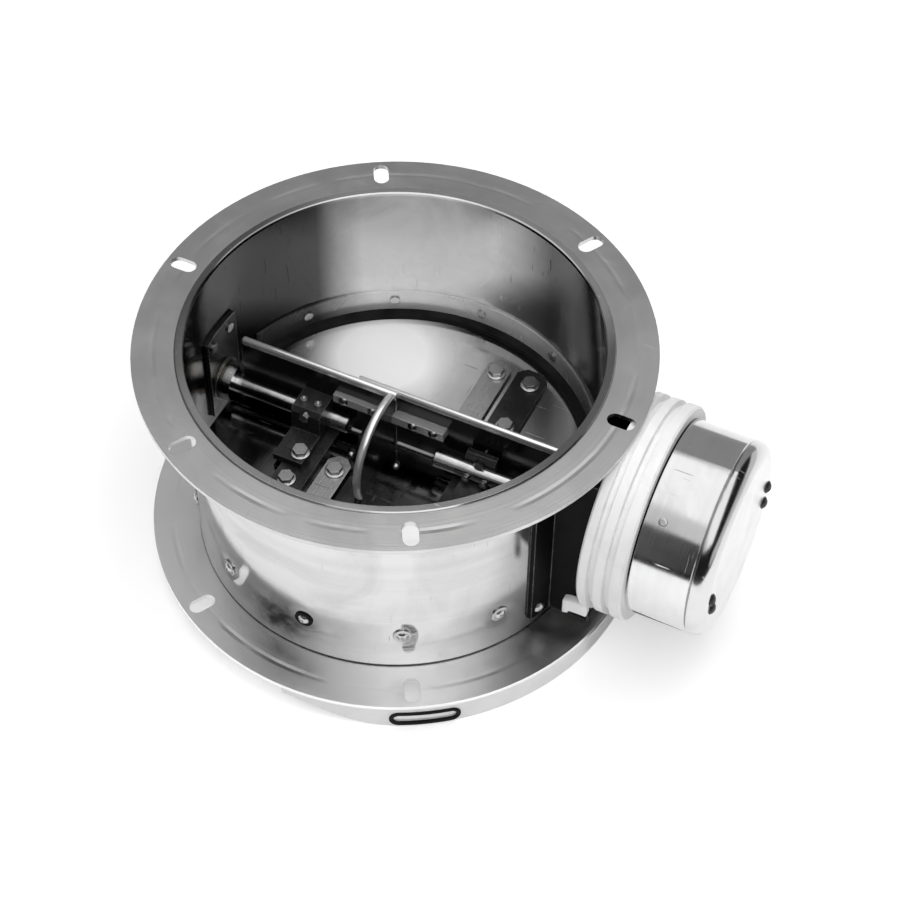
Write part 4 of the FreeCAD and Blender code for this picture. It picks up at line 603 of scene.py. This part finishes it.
def web_hems():
    # A rolled hem over the top of each web.
    radius, drop = 0.0021, 0.0024
    hems = (("web_left_hem", -0.1105, -0.003, 0.00755), ("web_right_hem", -0.030, 0.1105, 0.01005))
    for name, start, end, across in hems:
        middle = ((start + end) / 2, across, WEB_TOP)
        half_length = (end - start) / 2

        def at_end(edge):
            one, two = edge.verts[0].co.x, edge.verts[1].co.x
            return abs(abs(one - middle[0]) - half_length) < 1e-5 and abs(one - two) < 1e-6

        begin()
        bpy.ops.mesh.primitive_cylinder_add(vertices=28, radius=radius, depth=end - start, location=middle,
                                            rotation=(0, math.pi / 2, 0))
        piece = open_piece(name)
        bpy.ops.mesh.select_all(action="SELECT")
        bpy.ops.mesh.bisect(plane_co=middle, plane_no=(0, 0, 1), use_fill=True, clear_inner=True)
        pick_faces(piece, lambda face: face.normal.z < -0.9)
        extrude_by(0, 0, -drop)
        pick_edges(piece, at_end)
        bpy.ops.mesh.bevel(offset=0.0003, segments=2, affect="EDGES")
        fit(close_piece(piece), "splice_steel", "blade")


def brace_rim():
    # A bead along the brace's curved edge, from the web down to the blade.
    start, end, radius = math.radians(70.3), math.radians(201.2), 0.0366
    middle = (-0.006, -0.006, SHAFT_HEIGHT)
    begin()
    place = (middle[0], middle[1] + radius * math.cos(start), middle[2] + radius * math.sin(start))
    bpy.ops.mesh.primitive_circle_add(vertices=20, radius=0.0026, fill_type="NGON", location=place,
                                      rotation=(start, 0, 0))
    bpy.context.object.scale = (1.0, 0.66, 1.0)
    piece = open_piece("brace_rim")
    bpy.ops.mesh.select_all(action="SELECT")
    bpy.ops.mesh.spin(steps=40, angle=start - end, center=middle, axis=(1, 0, 0))
    fit(close_piece(piece), "splice_steel", "blade")


def ring(name, outer, inner, thick, edge=0.00015):
    # A flat ring: a disc whose two faces are inset and joined through, its outer rims rounded.
    def on_rim(edge):
        one, two = edge.verts
        return abs(one.co.z - two.co.z) < 1e-7 and min(one.co.xy.length, two.co.xy.length) > outer * 0.99

    begin()
    bpy.ops.mesh.primitive_cylinder_add(vertices=40, radius=outer, depth=thick, location=(0, 0, 0))
    piece = open_piece(name)
    pick_faces(piece, lambda face: abs(face.normal.z) > 0.9)
    bpy.ops.mesh.inset(thickness=outer - inner, use_individual=True)
    bpy.ops.mesh.bridge_edge_loops()
    pick_edges(piece, on_rim)
    bpy.ops.mesh.bevel(offset=edge, segments=2, affect="EDGES")
    return close_piece(piece)


def strap_washers():
    # A plain washer under each bolt head on the bars and on the clamps' feet.
    thick, bar_top, foot_top = 0.0009, 0.0518, 0.0568
    places = [(-0.052, -0.088, bar_top), (-0.052, -0.049, bar_top), (-0.052, -0.030, foot_top),
              (-0.028, -0.030, bar_top), (-0.028, -0.088, bar_top),
              (0.052, 0.088, bar_top), (0.052, 0.049, bar_top), (0.052, -0.030, foot_top),
              (0.028, 0.030, bar_top), (0.028, 0.088, bar_top)]
    washer = ring("strap_washer", 0.0062, 0.0036, thick)
    fit(washer, "bolt_steel", "blade", [Matrix.Translation((x, y, z + thick / 2)) for x, y, z in places])


def rivet_seals():
    # A ring under each seat rivet's head, black rubber at the middle of each half, and the stub of its pin on top.
    rings, pins = [], []
    for x, y, level in rivet_points():
        turn = Matrix.Translation((0, 0, level)) @ Matrix.Rotation(math.atan2(y, x), 4, "Z")
        rings.append(turn @ Matrix.Translation((TUBE_OUTSIDE + 0.0003, 0, 0)) @ OUTWARD)
        pins.append(turn @ Matrix.Translation((TUBE_OUTSIDE + 0.0021, 0, 0)) @ OUTWARD)
    rubber = (2, 7)
    sealed = [rings[number] for number in rubber]
    plain = [move for number, move in enumerate(rings) if number not in rubber]
    fit(ring("rivet_seal", 0.0058, 0.0032, 0.0009, edge=0.0003), "seal_rubber", "housing", sealed)
    fit(ring("rivet_washer", 0.0056, 0.0032, 0.0008, edge=0.0002), "rivet_steel", "housing", plain)
    begin()
    bpy.ops.mesh.primitive_cylinder_add(vertices=16, radius=0.001, depth=0.001, location=(0, 0, 0))
    pin = open_piece("rivet_pin")
    pick_faces(pin, lambda face: face.normal.z > 0.9)
    bpy.ops.mesh.inset(thickness=0.0003)
    extrude_by(0, 0, -0.0002)
    fit(close_piece(pin), "rivet_steel", "housing", pins)


def base_lugs():
    # The two lugs of the base that hook over the console's sides.
    begin()
    across, foot_end = 0.0577, 0.1445
    bpy.ops.mesh.primitive_cube_add(size=1.0, location=(0.1515, -across, 0.0515), scale=(0.006, 0.0056, 0.010))
    lug = open_piece("base_lug")
    pick_faces(lug, lambda face: face.normal.x < -0.9)
    extrude_by(-0.0055, 0, -0.0005)
    extrude_by(-0.0040, 0, -0.0015)
    pick_faces(lug, lambda face: face.normal.z < -0.5 and face.calc_center_median().x < foot_end)
    extrude_by(0, 0, -0.0020)
    bpy.ops.mesh.select_all(action="SELECT")
    bpy.ops.mesh.bevel(offset=0.0010, segments=3, affect="EDGES", clamp_overlap=True)
    fit(close_piece(lug, 40.0), "base_white", "housing", [Matrix(), Matrix.Translation((0, 2 * across, 0))])


def hole_grommet():
    # The black rubber edging round the apron's oval hole: a disc drawn apart into an oval, then opened.
    half_straight, below_flange, round_apron = 0.0155, 0.009, math.radians(-57.4)
    begin()
    bpy.ops.mesh.primitive_cylinder_add(vertices=40, radius=0.0062, depth=0.0018, location=(0, 0, 0))
    piece = open_piece("hole_grommet")
    for side in (-1, 1):
        bpy.ops.mesh.select_mode(type="VERT")
        bpy.ops.mesh.select_all(action="DESELECT")
        mesh = bmesh.from_edit_mesh(piece.data)
        for vert in mesh.verts:
            vert.select_set((vert.co.x > 1e-5) == (side > 0))
        mesh.select_flush_mode()
        bmesh.update_edit_mesh(piece.data)
        bpy.ops.transform.translate(value=(side * half_straight, 0, 0))
    pick_faces(piece, lambda face: abs(face.normal.z) > 0.9)
    bpy.ops.mesh.inset(thickness=0.0026, use_individual=True)
    bpy.ops.mesh.bridge_edge_loops()
    for step in range(-3, 4):
        bpy.ops.mesh.select_all(action="SELECT")
        bpy.ops.mesh.bisect(plane_co=(step * 0.0045, 0, 0), plane_no=(1, 0, 0))
    pick_edges(piece, lambda edge: len(edge.link_faces) == 2 and edge.calc_face_angle() > math.radians(60))
    bpy.ops.mesh.bevel(offset=0.0005, segments=3, affect="EDGES")
    close_piece(piece, 40.0)
    # Bent to the apron's own curve: across the hole becomes round the apron, depth becomes outward.
    for vert in piece.data.vertices:
        angle = round_apron + vert.co.x / FLANGE_RADIUS
        outward = FLANGE_RADIUS + 0.0001 + vert.co.z
        vert.co = (outward * math.cos(angle), outward * math.sin(angle), vert.co.y - below_flange)
    fit(piece, "seal_rubber", "housing")


def cover_screws():
    # Two small screws with a sunk socket that hold the cover on the base.
    begin()
    bpy.ops.mesh.primitive_cylinder_add(vertices=28, radius=0.0027, depth=0.0016, location=(0, 0, 0))
    screw = open_piece("cover_screw")
    pick_faces(screw, lambda face: face.normal.z > 0.9)
    bpy.ops.mesh.bevel(offset=0.0006, segments=3, affect="EDGES")
    pick_faces(screw, lambda face: face.normal.z > 0.99)
    bpy.ops.mesh.inset(thickness=0.0007)
    extrude_by(0, 0, -0.0008)
    moves = []
    for angle in (132.0, 312.0):
        turn = Matrix.Translation((0.188, 0, ACTUATOR_HEIGHT)) @ Matrix.Rotation(math.radians(angle), 4, "X")
        moves.append(turn @ Matrix.Rotation(-math.pi / 2, 4, "X") @ Matrix.Translation((0, 0, COVER_RADIUS + 0.0002)))
    fit(close_piece(screw), "bolt_steel", "housing", moves)


def seam_weld():
    # The rippled bead that closes the rolled tube at the back.
    foot, ripple, swell, angle = 0.004, 0.0021, 1.14, math.radians(100.0)
    out = TUBE_OUTSIDE - 0.0001
    x, y = out * math.cos(angle), out * math.sin(angle)
    begin()
    bpy.ops.mesh.primitive_circle_add(vertices=12, radius=0.0012, fill_type="NGON", location=(x, y, foot))
    piece = open_piece("seam_weld")
    bpy.ops.mesh.select_all(action="SELECT")
    for step in range(69):
        grow = swell if step % 2 == 0 else 1 / swell
        extrude_by(0, 0, ripple)
        bpy.ops.transform.resize(value=(grow, grow, 1.0), center_override=(x, y, foot + ripple * (step + 1)))
    fit(close_piece(piece, 60.0), "rivet_steel", "housing")


web_hems()
brace_rim()
strap_washers()
rivet_seals()
base_lugs()
hole_grommet()
cover_screws()
seam_weld()
begin()


# Studio: pale floor, soft boxes, and flags that only the metal sees

def seen_rays(tree):
    # One for what the camera sees, also in metal and through glass.
    path = tree.nodes.new("ShaderNodeLightPath").outputs
    mirrored = sums(tree, "MAXIMUM", path["Is Glossy Ray"], path["Is Transmission Ray"])
    return sums(tree, "MAXIMUM", path["Is Camera Ray"], mirrored)


def stage_material(name, colour, shine, diffuse=True):
    # A colour that the camera and the metal see lit from within at that strength, black in itself without diffuse.
    material = bpy.data.materials.new(name)
    material.use_nodes = True
    tree = material.node_tree
    shader = tree.nodes["Principled BSDF"]
    shader.inputs["Base Color"].default_value = (*colour, 1.0) if diffuse else (0.0, 0.0, 0.0, 1.0)
    shader.inputs["Roughness"].default_value = 1.0
    shader.inputs["Specular IOR Level"].default_value = 0.0
    shader.inputs["Emission Color"].default_value = (*colour, 1.0)
    tree.links.new(times(tree, seen_rays(tree), shine), shader.inputs["Emission Strength"])
    return material


# The camera's turn round the duct, and the studio's directions from it

CAMERA_TURN = math.radians(27.2)
RIGHT = Vector((math.cos(CAMERA_TURN), math.sin(CAMERA_TURN), 0.0))
AWAY = Vector((-math.sin(CAMERA_TURN), math.cos(CAMERA_TURN), 0.0))
UP = Vector((0.0, 0.0, 1.0))


def flat_board(name, middle, along, across, size, material):
    # A flat board given by its middle, its two directions and its size.
    bpy.ops.object.select_all(action="DESELECT")
    bpy.ops.mesh.primitive_plane_add(size=1.0, location=(0, 0, 0))
    board = bpy.context.object
    board.name = name
    turn = Matrix((along, across, along.cross(across))).transposed().to_4x4()
    board.data.transform(Matrix.Translation(middle) @ turn @ Matrix.Diagonal((size[0], size[1], 1.0, 1.0)))
    board.data.materials.append(material)
    return board


def flag(name, middle, along, across, size, shade):
    # A card that only the metal sees, as round any bright part in a studio.
    card = flat_board(name, middle, along, across, size, stage_material(name, grey(shade), 1.0, diffuse=False))
    card.visible_camera = False
    card.visible_diffuse = False
    card.visible_shadow = False


def soft_box(name, middle, size, brightness, mirrored):
    # A wide panel overhead, square to the camera and shining down. Metal sees a card in its place.
    lamp = bpy.data.lights.new(name, "AREA")
    lamp.shape = "RECTANGLE"
    lamp.size, lamp.size_y = size
    lamp.energy = math.pi * size[0] * size[1] * brightness
    panel = bpy.data.objects.new(name, lamp)
    scene.collection.objects.link(panel)
    panel.matrix_world = Matrix.Translation(middle) @ Matrix((RIGHT, AWAY, UP)).transposed().to_4x4()
    panel.visible_camera = False
    panel.visible_glossy = False
    flag(name + " card", middle, RIGHT, AWAY, size, mirrored)


def spot(across, away, height):
    return RIGHT * across + AWAY * away + UP * height


def lay_floor():
    # A pale floor that grows to plain white away from the object.
    floor_level = -0.0166
    white = stage_material("floor white", grey(0.92), 0.36)
    tree = white.node_tree
    place = tree.nodes.new("ShaderNodeTexCoord").outputs["Object"]
    gap = add(tree, "ShaderNodeVectorMath", {"operation": "LENGTH"}, n0=place).outputs["Value"]
    strength = tree.nodes["Principled BSDF"].inputs["Emission Strength"]
    lit = strength.links[0].from_socket
    tree.links.new(times(tree, lit, between(tree, gap, 0.6, 2.4, 1.0, 3.0)), strength)
    flat_board("floor", UP * floor_level, Vector((1, 0, 0)), Vector((0, 1, 0)), (40, 40), white)


def light_room():
    # A soft light from all round, seen as white.
    world = bpy.data.worlds.new("studio")
    world.use_nodes = True
    scene.world = world
    tree = world.node_tree
    ground = tree.nodes["Background"]
    ground.inputs["Color"].default_value = (1, 1, 1, 1)
    tree.links.new(between(tree, seen_rays(tree), 0.0, 1.0, 0.26, 1.0), ground.inputs["Strength"])


def hang_lamps_and_cards():
    soft_box("canopy", spot(0.2, -0.65, 1.25), (1.1, 2.7), 2.2, 1.28)
    soft_box("left wing", spot(-0.6, -0.65, 1.25), (0.5, 2.7), 0.8, 0.75)
    flag("back card", spot(0.0, 1.5, 1.3), RIGHT, UP, (6.0, 2.62), 0.3)
    flag("right card", spot(1.5, 0.0, 1.6), AWAY, UP, (6.0, 2.0), 0.02)
    flag("right low card", spot(1.49, 0.0, 0.29), AWAY, UP, (6.0, 0.62), 0.7)
    flag("left card", spot(-1.5, 0.0, 1.3), AWAY, UP, (6.0, 2.62), 0.12)
    flag("front card", spot(0.0, -2.4, 1.3), RIGHT, UP, (6.0, 2.62), 0.012)
    flag("roof card", spot(0.0, 0.0, 2.6), RIGHT, AWAY, (6.0, 6.0), 0.1)
    flag("far floor card", spot(0.09, 0.05, -0.0155), RIGHT, AWAY, (0.2, 0.31), 0.02)
    flag("floor card", spot(0.0, -1.7, -0.015), RIGHT, AWAY, (4.0, 2.0), 0.012)


def aim_camera():
    # The photograph's place: above, in front and to the right of the duct.
    turn, rise, roll, distance = CAMERA_TURN, math.radians(47.15), math.radians(-0.88), 1.299
    back = Vector((math.sin(turn) * math.cos(rise), -math.cos(turn) * math.cos(rise), math.sin(rise)))
    right = Vector((math.cos(turn), math.sin(turn), 0.0))
    up = back.cross(right)
    across = right * math.cos(roll) + up * math.sin(roll)
    above = up * math.cos(roll) - right * math.sin(roll)
    lens = bpy.data.cameras.new("photograph")
    lens.lens = 87.92
    lens.sensor_width = 36.0
    lens.shift_x = 0.0613
    lens.shift_y = -0.1218
    lens.clip_start = 0.05
    camera = bpy.data.objects.new("photograph", lens)
    scene.collection.objects.link(camera)
    place = Vector((0, 0, BODY_HEIGHT)) + back * distance
    camera.matrix_world = Matrix.Translation(place) @ Matrix((across, above, back)).transposed().to_4x4()
    scene.camera = camera
    scene.view_settings.view_transform = "Standard"


lay_floor()
light_room()
hang_lamps_and_cards()
aim_camera()
